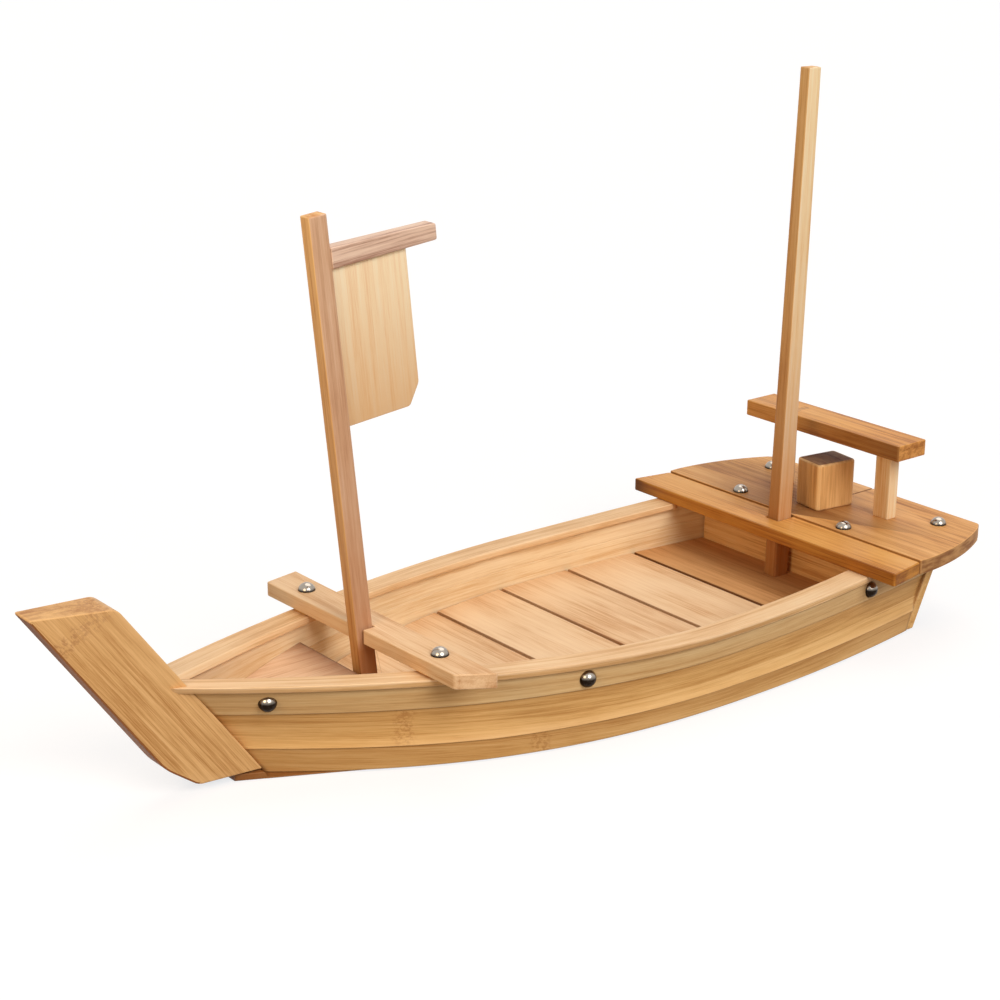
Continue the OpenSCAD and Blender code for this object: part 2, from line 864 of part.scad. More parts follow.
module front_beam_nails() {
    color(steel)
        for (s = SIDES)
            front_beam_nail_place(s)
                nail(nail_l);
}

// Nails of the deck: two in the stern bulkhead, two in the batten under the overhang.
deck_front_nail_y = [-40.5, 49.5];
deck_front_nail_x = stern_bulkhead_x + 0.72 * bulkhead_t;
deck_rear_nail_y = 72;
deck_rear_nail_x = deck_batten_x + deck_batten_d / 4;

module deck_front_nail_places() {
    for (y = deck_front_nail_y)
        translate([deck_front_nail_x, y, deck_z])
            children();
}

module deck_rear_nail_places() {
    for (y = [-deck_rear_nail_y, deck_rear_nail_y])
        translate([deck_rear_nail_x, y, deck_z])
            children();
}

module deck_nails() {
    color(steel) {
        deck_front_nail_places()
            nail(nail_l);
        deck_rear_nail_places()
            nail(nail_l);
    }
}

rear_dowel_x = 213;

module rear_dowel_place(side) {
    y = side_y(rear_dowel_x, shelf_z) - (wall + upper_in) / 2;
    translate([rear_dowel_x, side == "port" ? -y : y, shelf_z])
        children();
}

// Masts: square poles that lift out along their own axes, each in a notch and a foot socket.
foot_gap = 0.3;
front_foot = foot_gap + front_mast_d / 2 * sin(front_mast_lean);
rear_foot = foot_gap - plank_t + rear_mast_d / 2 * sin(rear_mast_lean);

module front_mast_frame() {
    translate([front_mast_x, 0, floor_z])
        rotate([0, -front_mast_lean, 0])
            children();
}

module rear_mast_frame() {
    translate([rear_mast_x, 0, floor_z])
        rotate([0, rear_mast_lean, 0])
            children();
}

module mast_hole(w, d, l, front = 0, back = 0) {
    translate([-d / 2 - mast_play - front, -w / 2 - mast_play, -plank_t - 1])
        cube([d + 2 * mast_play + front + back, w + 2 * mast_play, l]);
}

module front_mast_step() {
    color(honey)
        difference() {
            translate([front_mast_x - step_l / 2, -step_l / 2, floor_z])
                cube([step_l, step_l, step_h]);
            front_mast_frame()
                mast_hole(front_mast_w, front_mast_d, front_mast_l);
        }
}

module front_mast() {
    color(pale)
        difference() {
            front_mast_frame()
                translate([-front_mast_d / 2, -front_mast_w / 2, front_foot])
                    cube([front_mast_d, front_mast_w, front_mast_l - front_foot]);
            front_mast_frame()
                translate([front_mast_d / 2 - sail_tongue, -sail_t / 2 - hole_play, sail_foot - hole_play])
                    cube([front_mast_d, sail_t + 2 * hole_play, sail_h + sail_tongue + 2 * hole_play]);
            yard_dowel_frame()
                dowel_hole();
        }
}

module yard_dowel_frame() {
    front_mast_frame()
        translate([front_mast_d / 2, 0, sail_foot + sail_h + yard_h / 2 + sail_tongue / 2])
            rotate([0, 90, 0])
                children();
}

module sail_yard() {
    color(pale)
        difference() {
            front_mast_frame()
                translate([front_mast_d / 2, yard_w / 2, sail_foot + sail_h])
                    rotate([90, 0, 0])
                        linear_extrude(yard_w)
                            polygon([[0, 0], [yard_l, 0], [yard_l, yard_end_h], [0, yard_h]]);
            front_mast_frame()
                translate([0, -sail_t / 2 - hole_play, sail_foot])
                    cube([front_mast_d / 2 + sail_w + hole_play, sail_t + 2 * hole_play,
                          sail_h + sail_tongue + hole_play]);
            yard_dowel_frame()
                dowel_hole();
        }
}

module yard_dowel() {
    color(honey)
        yard_dowel_frame()
            dowel();
}

module sail_board() {
    front = front_mast_d / 2 - sail_tongue;
    rear = front_mast_d / 2 + sail_w;
    top = sail_foot + sail_h + sail_tongue;
    color(pale)
        front_mast_frame()
            translate([0, sail_t / 2, 0])
                rotate([90, 0, 0])
                    linear_extrude(sail_t)
                        polygon([[front, sail_foot], [rear - sail_cut, sail_foot],
                                 [rear, sail_foot + sail_cut_h], [rear, top], [front, top]]);
}

// The rear mast is straight up to just above the deck, and tapers from there to its top.
rear_taper_z = deck_z - floor_z + 6;

module rear_mast() {
    color(pale)
        rear_mast_frame() {
            translate([-rear_mast_d / 2, -rear_mast_w / 2, rear_foot])
                cube([rear_mast_d, rear_mast_w, rear_taper_z - rear_foot]);
            translate([0, 0, rear_taper_z])
                linear_extrude(rear_mast_l - rear_taper_z, scale = rear_mast_top)
                    square([rear_mast_d, rear_mast_w], center = true);
        }
}

bottom_board();
floor_batten(-batten_y);  // floor_batten_port
floor_batten(0);  // floor_batten_middle
floor_batten(batten_y);  // floor_batten_starboard
for (i = [1:PLANKS])
    floor_plank(i);
for (s = SIDES) {
    lower_strake(s);
    middle_strake(s);
    upper_strake(s);
    rail_cap(s);
    riser(s);
    stern_deck(s);
    rail_post(s);
}
stem_board();
transom();
bow_deck();
bow_bulkhead();
stern_bulkhead();
front_beam();
front_beam_wedges();
rear_beam();
rear_beam_dowels();
deck_batten();
deck_batten_dowels();
rail_bar();
post_dowels();
cabin_block();
cabin_dowels();
side_nails();
front_beam_nails();
deck_nails();
front_mast_step();
front_mast();
sail_yard();
yard_dowel();
sail_board();
rear_mast();
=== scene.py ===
import bpy
import math
import numpy as np
from mathutils import Matrix


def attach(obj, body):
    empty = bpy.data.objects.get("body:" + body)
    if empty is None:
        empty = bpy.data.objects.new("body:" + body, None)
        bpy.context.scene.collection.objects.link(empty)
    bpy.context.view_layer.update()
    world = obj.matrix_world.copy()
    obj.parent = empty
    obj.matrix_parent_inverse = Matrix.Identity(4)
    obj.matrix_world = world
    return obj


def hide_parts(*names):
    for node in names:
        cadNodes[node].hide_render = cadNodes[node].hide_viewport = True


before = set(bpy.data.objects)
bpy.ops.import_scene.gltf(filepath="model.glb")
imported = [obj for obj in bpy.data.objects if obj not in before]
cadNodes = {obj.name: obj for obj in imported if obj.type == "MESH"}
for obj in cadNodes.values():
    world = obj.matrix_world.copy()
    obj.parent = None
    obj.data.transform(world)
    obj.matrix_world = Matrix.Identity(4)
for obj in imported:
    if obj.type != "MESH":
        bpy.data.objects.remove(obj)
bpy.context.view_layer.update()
mm = 0.001
print("frame loaded with", len(cadNodes), "nodes")


# Shader tools: short ways to add and join nodes.
def addNode(tree, kind, inputs=None, **settings):
    node = tree.nodes.new(kind)
    for key, value in settings.items():
        setattr(node, key, value)
    for key, value in (inputs or {}).items():
        if isinstance(value, bpy.types.NodeSocket):
            tree.links.new(value, node.inputs[key])
        else:
            node.inputs[key].default_value = value
    return node


def calc(tree, operation, *values, clamp=False):
    inputs = dict(enumerate(values))
    return addNode(tree, "ShaderNodeMath", inputs, operation=operation, use_clamp=clamp).outputs[0]


def blendColour(tree, factor, a, b, how="MIX"):
    node = addNode(tree, "ShaderNodeMix", {0: factor, 6: a, 7: b}, data_type="RGBA", blend_type=how)
    return node.outputs[2]


def ramp(tree, value, low, high, toLow=0.0, toHigh=1.0):
    inputs = {"Value": value, "From Min": low, "From Max": high, "To Min": toLow, "To Max": toHigh}
    return addNode(tree, "ShaderNodeMapRange", inputs, interpolation_type="SMOOTHSTEP").outputs["Result"]


def vector(tree, *parts):
    return addNode(tree, "ShaderNodeCombineXYZ", dict(enumerate(parts))).outputs[0]


def noise(tree, place, detail, rough=0.5, scale=1.0):
    inputs = {"Vector": place, "Scale": scale, "Detail": detail, "Roughness": rough}
    return addNode(tree, "ShaderNodeTexNoise", inputs, noise_dimensions="3D").outputs["Fac"]


def dice(tree, *parts):
    inputs = {"Vector": vector(tree, *parts)}
    return addNode(tree, "ShaderNodeTexWhiteNoise", inputs, noise_dimensions="3D").outputs


def attribute(tree, name, output="Fac"):
    return addNode(tree, "ShaderNodeAttribute", attribute_name=name).outputs[output]


def newMaterial(name):
    material = bpy.data.materials.new(name)
    material.use_nodes = True
    material.node_tree.nodes.clear()
    return material, material.node_tree


# A principled surface with fine bumps, joined to the material's output.
def addSurface(tree, height, strength, depth, inputs):
    bump = addNode(tree, "ShaderNodeBump", {"Strength": strength, "Distance": depth, "Height": height})
    shader = addNode(tree, "ShaderNodeBsdfPrincipled", dict(inputs, Normal=bump.outputs["Normal"]))
    addNode(tree, "ShaderNodeOutputMaterial", {"Surface": shader.outputs[0]})


def tone(red, green, blue):
    c = np.array([red, green, blue]) / 255
    linear = np.where(c <= 0.04045, c / 12.92, ((c + 0.055) / 1.055) ** 2.4)
    return (*linear.tolist(), 1.0)


bambooSockets = {
    "INPUT": {"NodeSocketVector": ["Grain"], "NodeSocketColor": ["Light", "Middle", "Dark", "Knuckle"],
              "NodeSocketFloat": ["Wear", "End", "Stain", "Strip Width", "Strip Contrast", "Streak Contrast",
                                  "Fibre Contrast", "Cloud Contrast", "Knuckle Amount", "Mark Place",
                                  "Mark Amount", "Base Roughness"]},
    "OUTPUT": {"NodeSocketColor": ["Color"], "NodeSocketFloat": ["Roughness", "Height"]},
}
knucklePitch = 260.0  # a strip has one knuckle in this length at most, in mm


# Bamboo board. The grain vector is (along the fibres, across the board, into the board) in metres.
# Glued strips have a tone each; long noise gives streaks and fibres; each strip has a knuckle now and then.
def makeBambooGroup():
    tree = bpy.data.node_groups.new("bambooGrain", "ShaderNodeTree")
    for way, kinds in bambooSockets.items():
        for kind, names in kinds.items():
            for name in names:
                tree.interface.new_socket(name=name, in_out=way, socket_type=kind)
    given = addNode(tree, "NodeGroupInput").outputs

    def times(a, b, clamp=False):
        return calc(tree, "MULTIPLY", a, b, clamp=clamp)

    def plus(a, b):
        return calc(tree, "ADD", a, b)

    def minus(a, b, clamp=False):
        return calc(tree, "SUBTRACT", a, b, clamp=clamp)

    def centred(value, amount):
        return times(minus(value, 0.5), amount)

    split = addNode(tree, "ShaderNodeSeparateXYZ", {0: given["Grain"]}).outputs
    along, across, deep = [times(split[i], 1000.0) for i in range(3)]  # now in mm

    # noise with a scale of its own for each direction of the grain
    def grainNoise(scales, detail=2.0, rough=0.5, start=along):
        scaled = [times(place, scale) for place, scale in zip((start, across, deep), scales)]
        return noise(tree, vector(tree, *scaled), detail, rough)

    # strips: a random number for each, with a glue line between two
    sway = grainNoise((0.006, 0.02, 0.0))
    strip = calc(tree, "DIVIDE", plus(across, times(sway, 2.5)), given["Strip Width"])
    stripNumber = calc(tree, "FLOOR", strip)
    stripDice = dice(tree, stripNumber, calc(tree, "FLOOR", times(deep, 0.11)), 3.7)
    slide = addNode(tree, "ShaderNodeSeparateColor", {0: stripDice["Color"]}).outputs[1]
    gap = calc(tree, "ABSOLUTE", minus(calc(tree, "FRACT", strip), 0.5))
    glue = ramp(tree, gap, 0.462, 0.5)

    # streaks and fibres: noise drawn out along the grain
    slid = plus(along, times(slide, 700.0))
    streak = grainNoise((0.009, 0.33, 0.33), 3.0, 0.55, slid)
    fibre = grainNoise((0.035, 1.5, 1.5), 3.0, 0.62, slid)
    thread = grainNoise((0.11, 4.2, 4.2), 2.0, 0.6, slid)
    cloud = grainNoise((0.016, 0.05, 0.05))
    level = 0.5
    for value, contrast in ((stripDice["Value"], given["Strip Contrast"]), (streak, given["Streak Contrast"]),
                            (fibre, given["Fibre Contrast"]), (thread, times(given["Fibre Contrast"], 0.6)),
                            (cloud, given["Cloud Contrast"])):
        level = plus(level, centred(value, contrast))
    level = minus(level, times(glue, 0.16), clamp=True)
    lower = blendColour(tree, times(level, 2.0, clamp=True), given["Dark"], given["Middle"])
    colour = blendColour(tree, minus(times(level, 2.0), 1.0, clamp=True), lower, given["Light"])

    # knuckles: a frayed brown band across a strip
    pitch = calc(tree, "DIVIDE", slid, knucklePitch)
    lot = dice(tree, calc(tree, "FLOOR", pitch), stripNumber, 9.1)["Value"]
    there = calc(tree, "LESS_THAN", lot, given["Knuckle Amount"])
    fray = centred(grainNoise((0.12, 0.8, 0.8)), 9.0)
    away = plus(centred(calc(tree, "FRACT", pitch), knucklePitch), fray)
    band = ramp(tree, calc(tree, "ABSOLUTE", away), 3.6, 0.4)
    knuckle = times(times(band, there), 0.6)
    # one mark at a set place: a frayed band with brown fibres in it
    off = plus(minus(along, times(given["Mark Place"], 1000.0)), fray)
    near = ramp(tree, calc(tree, "ABSOLUTE", off), 7.5, 2.0)
    grit = ramp(tree, grainNoise((0.45, 0.55, 1.0), 3.0, 0.7), 0.42, 0.62)
    brown = calc(tree, "MAXIMUM", knuckle, times(times(near, grit), given["Mark Amount"]))
    colour = blendColour(tree, brown, colour, given["Knuckle"])

    # end grain: layers seen end-on, with fibre dots, a little deeper in tone
    layer = grainNoise((0.02, 0.05, 0.22), 3.0, 0.6)
    spots = vector(tree, times(across, 1.1), times(deep, 1.1), 0.0)
    cells = addNode(tree, "ShaderNodeTexVoronoi", {"Vector": spots, "Scale": 1.0}, feature="F1")
    dots = cells.outputs["Distance"]
    layered = blendColour(tree, ramp(tree, layer, 0.36, 0.66), given["Knuckle"], given["Light"])
    dotted = blendColour(tree, ramp(tree, dots, 0.28, 0.12, 0.0, 0.3), layered, given["Dark"])
    colour = blendColour(tree, times(given["End"], 0.8), colour, dotted)

    # worn edges and painted highlights, rubbed lighter in patches; then a deep brown, mostly painted shade in
    # seams, grooves and shaded places, elsewhere a plain stain
    patch = ramp(tree, cloud, 0.3, 0.65, 0.15, 0.55)
    colour = blendColour(tree, times(given["Wear"], patch), colour, given["Light"])
    deepBrown = blendColour(tree, 1.0, given["Knuckle"], (0.56, 0.47, 0.40, 1.0), "MULTIPLY")
    colour = blendColour(tree, given["Stain"], colour, deepBrown)

    rough = plus(plus(given["Base Roughness"], centred(fibre, 0.22)), times(given["End"], 0.12))
    rough = minus(rough, times(given["Wear"], 0.06), clamp=True)
    height = plus(times(fibre, 0.55), times(thread, 0.35))
    height = minus(minus(height, times(glue, 0.35)), times(brown, 0.25))
    addNode(tree, "NodeGroupOutput", {"Color": colour, "Roughness": rough, "Height": height})
    return tree


bambooGroup = makeBambooGroup()


# A finish: light, middle and dark tone, knuckle brown, strip width in mm, contrasts and roughness.
def finish(light, middle, dark, knuckle, strip, strips, streaks,
           fibres=1.0, clouds=0.6, knuckles=0.0, rough=0.5):
    return {"Light": tone(*light), "Middle": tone(*middle), "Dark": tone(*dark), "Knuckle": tone(*knuckle),
            "Strip Width": strip, "Strip Contrast": strips, "Streak Contrast": streaks,
            "Fibre Contrast": fibres, "Cloud Contrast": clouds, "Knuckle Amount": knuckles,
            "Base Roughness": rough}


finishes = {
    "peachBoard": finish((240, 207, 166), (229, 190, 146), (200, 148, 98), (168, 110, 66), strip=19.0,
                         strips=0.35, streaks=1.1, fibres=1.1, clouds=1.3, knuckles=0.22),
    # a darker copy of peachBoard for the last plank: painted shade under the rear beam
    "aftBoard": finish((216, 164, 110), (200, 146, 92), (172, 116, 66), (140, 88, 48), strip=19.0,
                       strips=0.35, streaks=1.5, fibres=1.1, clouds=0.9, knuckles=0.1),
    "insideBoard": finish((246, 222, 184), (236, 208, 165), (214, 172, 120), (214, 138, 62), strip=16.0,
                          strips=0.2, streaks=1.3, clouds=0.7, knuckles=0.1),
    "railBoard": finish((246, 206, 154), (210, 165, 109), (182, 132, 78), (176, 120, 74), strip=8.0,
                        strips=0.25, streaks=1.5, clouds=0.7, knuckles=0.1, rough=0.46),
    "railTop": finish((241, 210, 169), (232, 193, 146), (205, 157, 104), (186, 130, 84), strip=8.0,
                      strips=0.25, streaks=1.5, clouds=0.9, knuckles=0.06, rough=0.46),
    "amberTop": finish((230, 172, 98), (214, 149, 74), (164, 99, 40), (136, 80, 34), strip=15.0,
                       strips=0.4, streaks=2.0, fibres=1.2, clouds=1.2, knuckles=0.12, rough=0.44),
    "sideBoard": finish((229, 186, 126), (211, 164, 101), (182, 131, 71), (158, 100, 48), strip=13.0,
                        strips=0.3, streaks=1.4, fibres=1.1, clouds=0.8, knuckles=0.08, rough=0.48),
    "upperBoard": finish((236, 204, 150), (222, 183, 127), (194, 150, 94), (156, 108, 60), strip=11.0,
                         strips=0.2, streaks=1.5, fibres=1.1, clouds=0.7, knuckles=0.08),
    "stemBoard": finish((226, 182, 126), (209, 163, 106), (178, 127, 72), (158, 106, 70), strip=11.0,
                        strips=0.3, streaks=2.0, fibres=1.5),
    "stemEdge": finish((160, 104, 58), (134, 80, 40), (104, 58, 26), (90, 50, 24), strip=11.0,
                       strips=0.2, streaks=1.2, fibres=0.9, clouds=0.5, rough=0.55),
    "amberBoard": finish((200, 137, 57), (180, 112, 39), (132, 69, 19), (126, 70, 24), strip=15.0,
                         strips=0.4, streaks=2.0, fibres=1.2, clouds=1.1, knuckles=0.12, rough=0.44),
    "deckBoard": finish((234, 181, 118), (212, 153, 88), (160, 101, 52), (136, 86, 48), strip=22.0,
                        strips=0.3, streaks=1.7, fibres=1.1, clouds=1.2, knuckles=0.15),
    "cabinBoard": finish((252, 212, 154), (232, 182, 118), (186, 128, 70), (120, 70, 36), strip=5.0,
                         strips=0.35, streaks=1.2, fibres=0.9, clouds=0.8, rough=0.48),
    "poleRose": finish((226, 192, 162), (210, 168, 134), (174, 128, 96), (205, 130, 56), strip=3.4,
                       strips=0.5, streaks=1.2),
    "polePale": finish((255, 240, 206), (252, 223, 174), (224, 170, 106), (220, 140, 60), strip=4.4,
                       strips=0.4, streaks=1.5, fibres=0.9),
    "poleWood": finish((250, 208, 148), (242, 192, 126), (206, 146, 84), (190, 110, 40), strip=4.6,
                       strips=0.35, streaks=1.6, rough=0.46),
    "bowDeckBoard": finish((236, 206, 174), (226, 186, 148), (198, 148, 110), (150, 100, 70), strip=24.0,
                           strips=0.2, streaks=1.4, clouds=1.0, knuckles=0.1, rough=0.52),
    "sailBoard": finish((255, 242, 212), (255, 234, 196), (244, 208, 166), (250, 180, 70), strip=3.4,
                        strips=0.22, streaks=1.3, fibres=1.1, rough=0.52),
    "roseWood": finish((240, 214, 192), (226, 194, 172), (164, 122, 102), (136, 92, 72), strip=5.0,
                       strips=0.4, streaks=2.2, knuckles=0.05),
}


# A piece of this script carries its own grain. A solid of the frame has its object axes, put in grain order.
def makeWood(name, finishName, order=None, shift=(0.0, 0.0, 0.0), mark=0.0, markAmount=0.0, grooveShadeTo=None):
    material, tree = newMaterial(name)
    inputs = dict(finishes[finishName], **{"Mark Place": mark, "Mark Amount": markAmount})
    if order is None:
        inputs.update({"Grain": attribute(tree, "grain", "Vector"), "Wear": attribute(tree, "wear"),
                       "End": attribute(tree, "endGrain"), "Stain": attribute(tree, "stain")})
    else:
        place = addNode(tree, "ShaderNodeTexCoord").outputs["Object"]
        axes = addNode(tree, "ShaderNodeSeparateXYZ", {0: place}).outputs
        inputs["Grain"] = vector(tree, *[calc(tree, "ADD", axes[i], s) for i, s in zip(order, shift)])
        if grooveShadeTo is not None:  # its front edge carries painted shade like the other groove walls
            inputs["Stain"] = calc(tree, "MULTIPLY", calc(tree, "LESS_THAN", axes[0], grooveShadeTo), 0.85)
    bamboo = addNode(tree, "ShaderNodeGroup", inputs, node_tree=bambooGroup).outputs
    addSurface(tree, bamboo["Height"], 0.35, 0.0003, {
        "Base Color": bamboo["Color"], "Roughness": bamboo["Roughness"], "Specular IOR Level": 0.2})
    return material


woods = {}
insideFinish = "insideBoard"


def wood(finishName):
    if finishName not in woods:
        woods[finishName] = makeWood(finishName, finishName)
    return woods[finishName]


# Polished nail steel: bright dome, darker at the rim from grime and painted contact shade, and where it
# faces the ground from painted reflection of dark surroundings.
def makeNailSteel():
    material, tree = newMaterial("nailSteel")
    place = addNode(tree, "ShaderNodeTexCoord").outputs["Object"]
    big = noise(tree, place, 3.0, scale=900.0)
    fine = noise(tree, place, 2.0, scale=6000.0)
    uneven = calc(tree, "MULTIPLY", calc(tree, "SUBTRACT", big, 0.5), 0.25)
    grimeAndPaintedLight = calc(tree, "ADD", attribute(tree, "wear"), uneven, clamp=True)
    colour = blendColour(tree, grimeAndPaintedLight, tone(168, 158, 146), tone(34, 25, 18))
    addSurface(tree, fine, 0.08, 0.0001, {
        "Base Color": colour, "Metallic": 1.0, "Roughness": ramp(tree, big, 0.3, 0.7, 0.12, 0.26)})
    return material


nailSteel = makeNailSteel()
print("finishes ready:", len(finishes), "boards and the nail steel")


# Nothing up to zero, then rising evenly to one over the run.
def rising(value, run):
    return np.clip(value / run, 0, 1)


# Faces of a tube: each ring is joined to the next, and both ends get a lid.
# The volume under the faces is negative for an inside-out tube, which is then turned round.
def skin(rings):
    count, n = rings.shape[:2]
    points = rings.reshape(-1, 3)
    i, k = np.meshgrid(np.arange(count - 1), np.arange(n), indexing="ij")
    a = (i * n + k).ravel()
    b = (i * n + (k + 1) % n).ravel()
    quads = np.stack([a, b, b + n, a + n], axis=1)
    lids = np.stack([np.arange(n)[::-1], (count - 1) * n + np.arange(n)])
    corners = points - points.mean(0)
    fan = np.stack([np.repeat(lids[:, :1], n - 2, 1), lids[:, 1:-1], lids[:, 2:]], -1).reshape(-1, 3)
    tris = np.concatenate([quads[:, [0, 1, 2]], quads[:, [0, 2, 3]], fan])
    volume = np.einsum("ij,ij->", corners[tris[:, 0]], np.cross(corners[tris[:, 1]], corners[tris[:, 2]]))
    if volume < 0:
        quads, lids = quads[:, ::-1], lids[:, ::-1]
    return points, quads.tolist() + lids.tolist()


# A shape: the skin of its rings, and for each point its place in the grain, wear with painted highlight,
# stain with painted shade, and end grain.
def makeShape(rings, grain, wear, stain=0.0, end=0.0, **more):
    points, faces = skin(rings)
    spread = {key: np.broadcast_to(value, rings.shape[:2]).flatten()
              for key, value in (("wear", wear), ("stain", stain), ("end", end))}
    return dict(points=points, faces=faces, grain=grain.reshape(-1, 3), **spread, **more)


# Which faces of a shape get its second finish, from a choice among the side faces; the two lids don't.
def sideFaces(chosen, finishName):
    return np.concatenate([chosen, [False, False]]), finishName


# seed slides the grain pattern, so that no two boards are alike
def grainShift(seed):
    return np.array([733.0, 57.3, 31.7]) * seed


arcSteps = 5
arcPoints = arcSteps + 2
cornerShare = 0.36  # the most of a side that a rounded corner takes
flatRim = 0.35      # a point this far beside an arc keeps the flat flat


# A corner of each ring becomes a small arc: a quadratic curve from a point before the corner to one
# after it, and one more point on either side keeps the flats flat. Radius 0 keeps the bare corner.
def roundRings(corners, radii):
    t = np.linspace(0, 1, arcSteps)[None, :, None]
    flag = np.ones(arcPoints)
    flag[[0, 1, -2, -1]] = 0
    rings, wear = [], []
    for k, radius in enumerate(radii):
        here = corners[:, k]
        if radius == 0:
            rings.append(here[:, None])
            wear.append(np.zeros(1))
            continue
        before = corners[:, k - 1] - here
        after = corners[:, (k + 1) % len(radii)] - here
        lengthB = np.maximum(np.linalg.norm(before, axis=1, keepdims=True), 1e-6)
        lengthA = np.maximum(np.linalg.norm(after, axis=1, keepdims=True), 1e-6)
        shorter = np.minimum(lengthB, lengthA)
        r = np.minimum(radius, cornerShare * shorter)
        extra = np.minimum(flatRim, 0.1 * shorter)
        first, last = here + before / lengthB * r, here + after / lengthA * r
        arc = (1 - t) ** 2 * first[:, None] + 2 * t * (1 - t) * here[:, None] + t ** 2 * last[:, None]
        rings.append(np.concatenate([(first + before / lengthB * extra)[:, None], arc,
                                     (last + after / lengthA * extra)[:, None]], axis=1))
        wear.append(flag)
    return np.concatenate(rings, axis=1), np.concatenate(wear)


# A section's lines from end to end in one array: each corner gives its x, y and z.
def sectionLines(*corners):
    return np.stack([np.stack(np.broadcast_arrays(*corner), -1) for corner in corners], 1)


# A strip with rounded edges along its section lines, whose grain follows the boat's axes.
def stripShape(lines, radius, seed):
    rings, wear = roundRings(lines, [radius] * 4)
    return makeShape(rings, rings + grainShift(seed), wear)


roomShare = 0.8  # how much of an arc's radius its eased edge can use
muchRoom = 1e3


# A flat outline with rounded corners. extra[k] holds points of a curved side that follows corner k.
# The room of a point is how far its edge can be drawn in: on a corner that sticks out, most of the
# radius of its arc, which is the leg times the squared sine over the cosine of half the angle, and
# beside the arc most of the way to the corner's middle line.
def roundOutline(corners, radii, extra=None):
    corners = np.asarray(corners, float)
    ahead, behind = np.roll(corners, -1, 0) - corners, np.roll(corners, 1, 0) - corners
    lengths = np.linalg.norm(ahead, axis=1), np.linalg.norm(behind, axis=1)
    bend = ahead[:, 0] * behind[:, 1] - ahead[:, 1] * behind[:, 0]
    half = np.arccos(np.clip(np.sum(ahead * behind, 1) / lengths[0] / lengths[1], -1, 1)) / 2
    leg = np.minimum(radii, cornerShare * np.minimum(*lengths))
    convex = bend * bend.sum() > 0
    spare = np.where(convex, roomShare * leg * np.sin(half) ** 2 / np.cos(half), muchRoom)
    beside = np.where(convex, roomShare * leg * np.tan(half), muchRoom)
    flat = np.column_stack([corners, np.zeros(len(corners))])[None]
    others = len(corners) - 1
    points, wear, room = [], [], []
    for k in range(len(corners)):
        ring, flag = roundRings(np.roll(flat, -k, axis=1), [radii[k]] + [0] * others)
        count = len(flag) - others
        points.append(ring[0, :count, :2])
        wear.append(flag[:count])
        room.append(np.concatenate([[beside[k]], np.full(count - 2, spare[k]), [beside[k]]]))
        if extra and k in extra:
            points.append(np.asarray(extra[k], float))
            wear.append(np.zeros(len(extra[k])))
            room.append(np.full(len(extra[k]), muchRoom))
    outline = [np.concatenate(part) for part in (points, wear, room)]
    x, y = outline[0].T
    area = np.sum(x * np.roll(y, -1) - y * np.roll(x, -1))
    return outline if area > 0 else [part[::-1] for part in outline]


def straight(p, q, h):
    return p, q, h


lidStep = 0.12  # flat rim between the eased edge and the lid
endFrom, endRun = 0.75, 0.2  # how far a side has to face along the fibres to show end grain


# A board: the outline drawn in by a quarter circle at both faces. p and q are the outline's axes and h
# the height; place puts them into the boat. grainOrder names which of p, q, h the fibres follow, cross
# and go into. levels adds rings between the faces.
def board(outline, low, high, ease, place=straight, grainOrder="qph", seed=0, support=flatRim, levels=()):
    points, edge, room = outline
    ahead = np.roll(points, -1, 0) - points
    ahead /= np.linalg.norm(ahead, axis=1, keepdims=True)
    out = np.column_stack([ahead[:, 1], -ahead[:, 0]])
    outBefore = np.roll(out, 1, 0)
    mitre = (out + outBefore) / (1 + np.sum(out * outBefore, axis=1, keepdims=True))
    turn = np.linspace(0, math.pi / 2, 5)
    inset = np.concatenate([[ease + lidStep], ease * (1 - np.sin(turn)), [0]])
    lift = np.concatenate([[0], ease * (1 - np.cos(turn)), [ease + support]])
    lidShare = np.concatenate([[1], np.cos(turn), [0]])
    ringWearAndPaintedLight = np.array([0, 0, 1, 1, 1, 0, 0], float)
    between = np.zeros(len(levels))
    inset, lidShare, ringWearAndPaintedLight = [np.concatenate([v, between, v[::-1]])[:, None]
                                 for v in (inset, lidShare, ringWearAndPaintedLight)]
    h = np.concatenate([low + lift, levels, high - lift[::-1]])[:, None] + 0 * points[None, :, 0]
    drawn = inset * np.minimum(1, room / (ease + lidStep))[None]
    p = points[None, :, 0] - drawn * mitre[None, :, 0]
    q = points[None, :, 1] - drawn * mitre[None, :, 1]
    axes = {"p": p, "q": q, "h": h}
    grain = np.stack([axes[c] for c in grainOrder], -1) + grainShift(seed)
    if grainOrder[0] == "h":
        end = lidShare
    else:
        facing = np.abs((out + outBefore)[:, "pq".index(grainOrder[0])] / 2)
        end = rising(facing - endFrom, endRun)[None] * (1 - lidShare)
    return makeShape(np.stack(place(p, q, h), -1), grain, np.maximum(ringWearAndPaintedLight, edge[None]), end=end,
                     facing=np.tile(out, (len(h) - 1, 1)))


# A bar with a rounded oblong section between two places in plan.
def barShape(x0, x1, y0, y1, low, high, radius, ease, grainOrder, seed, **more):
    outline = roundOutline([(x0, y0), (x1, y0), (x1, y1), (x0, y1)], [radius] * 4)
    return board(outline, low, high, ease, grainOrder=grainOrder, seed=seed, **more)


# Several shapes in one mesh: the face numbers of each are moved on by the points before it.
def together(*shapes):
    starts = np.cumsum([0] + [len(s["points"]) for s in shapes])
    faces = [[v + int(start) for v in face] for s, start in zip(shapes, starts) for face in s["faces"]]
    merged = {key: np.concatenate([s[key] for s in shapes])
              for key in ("points", "grain", "wear", "end", "stain")}
    return dict(merged, faces=faces)


def camelCase(node):
    first, *others = node.split("_")
    return first + "".join(word.capitalize() for word in others)


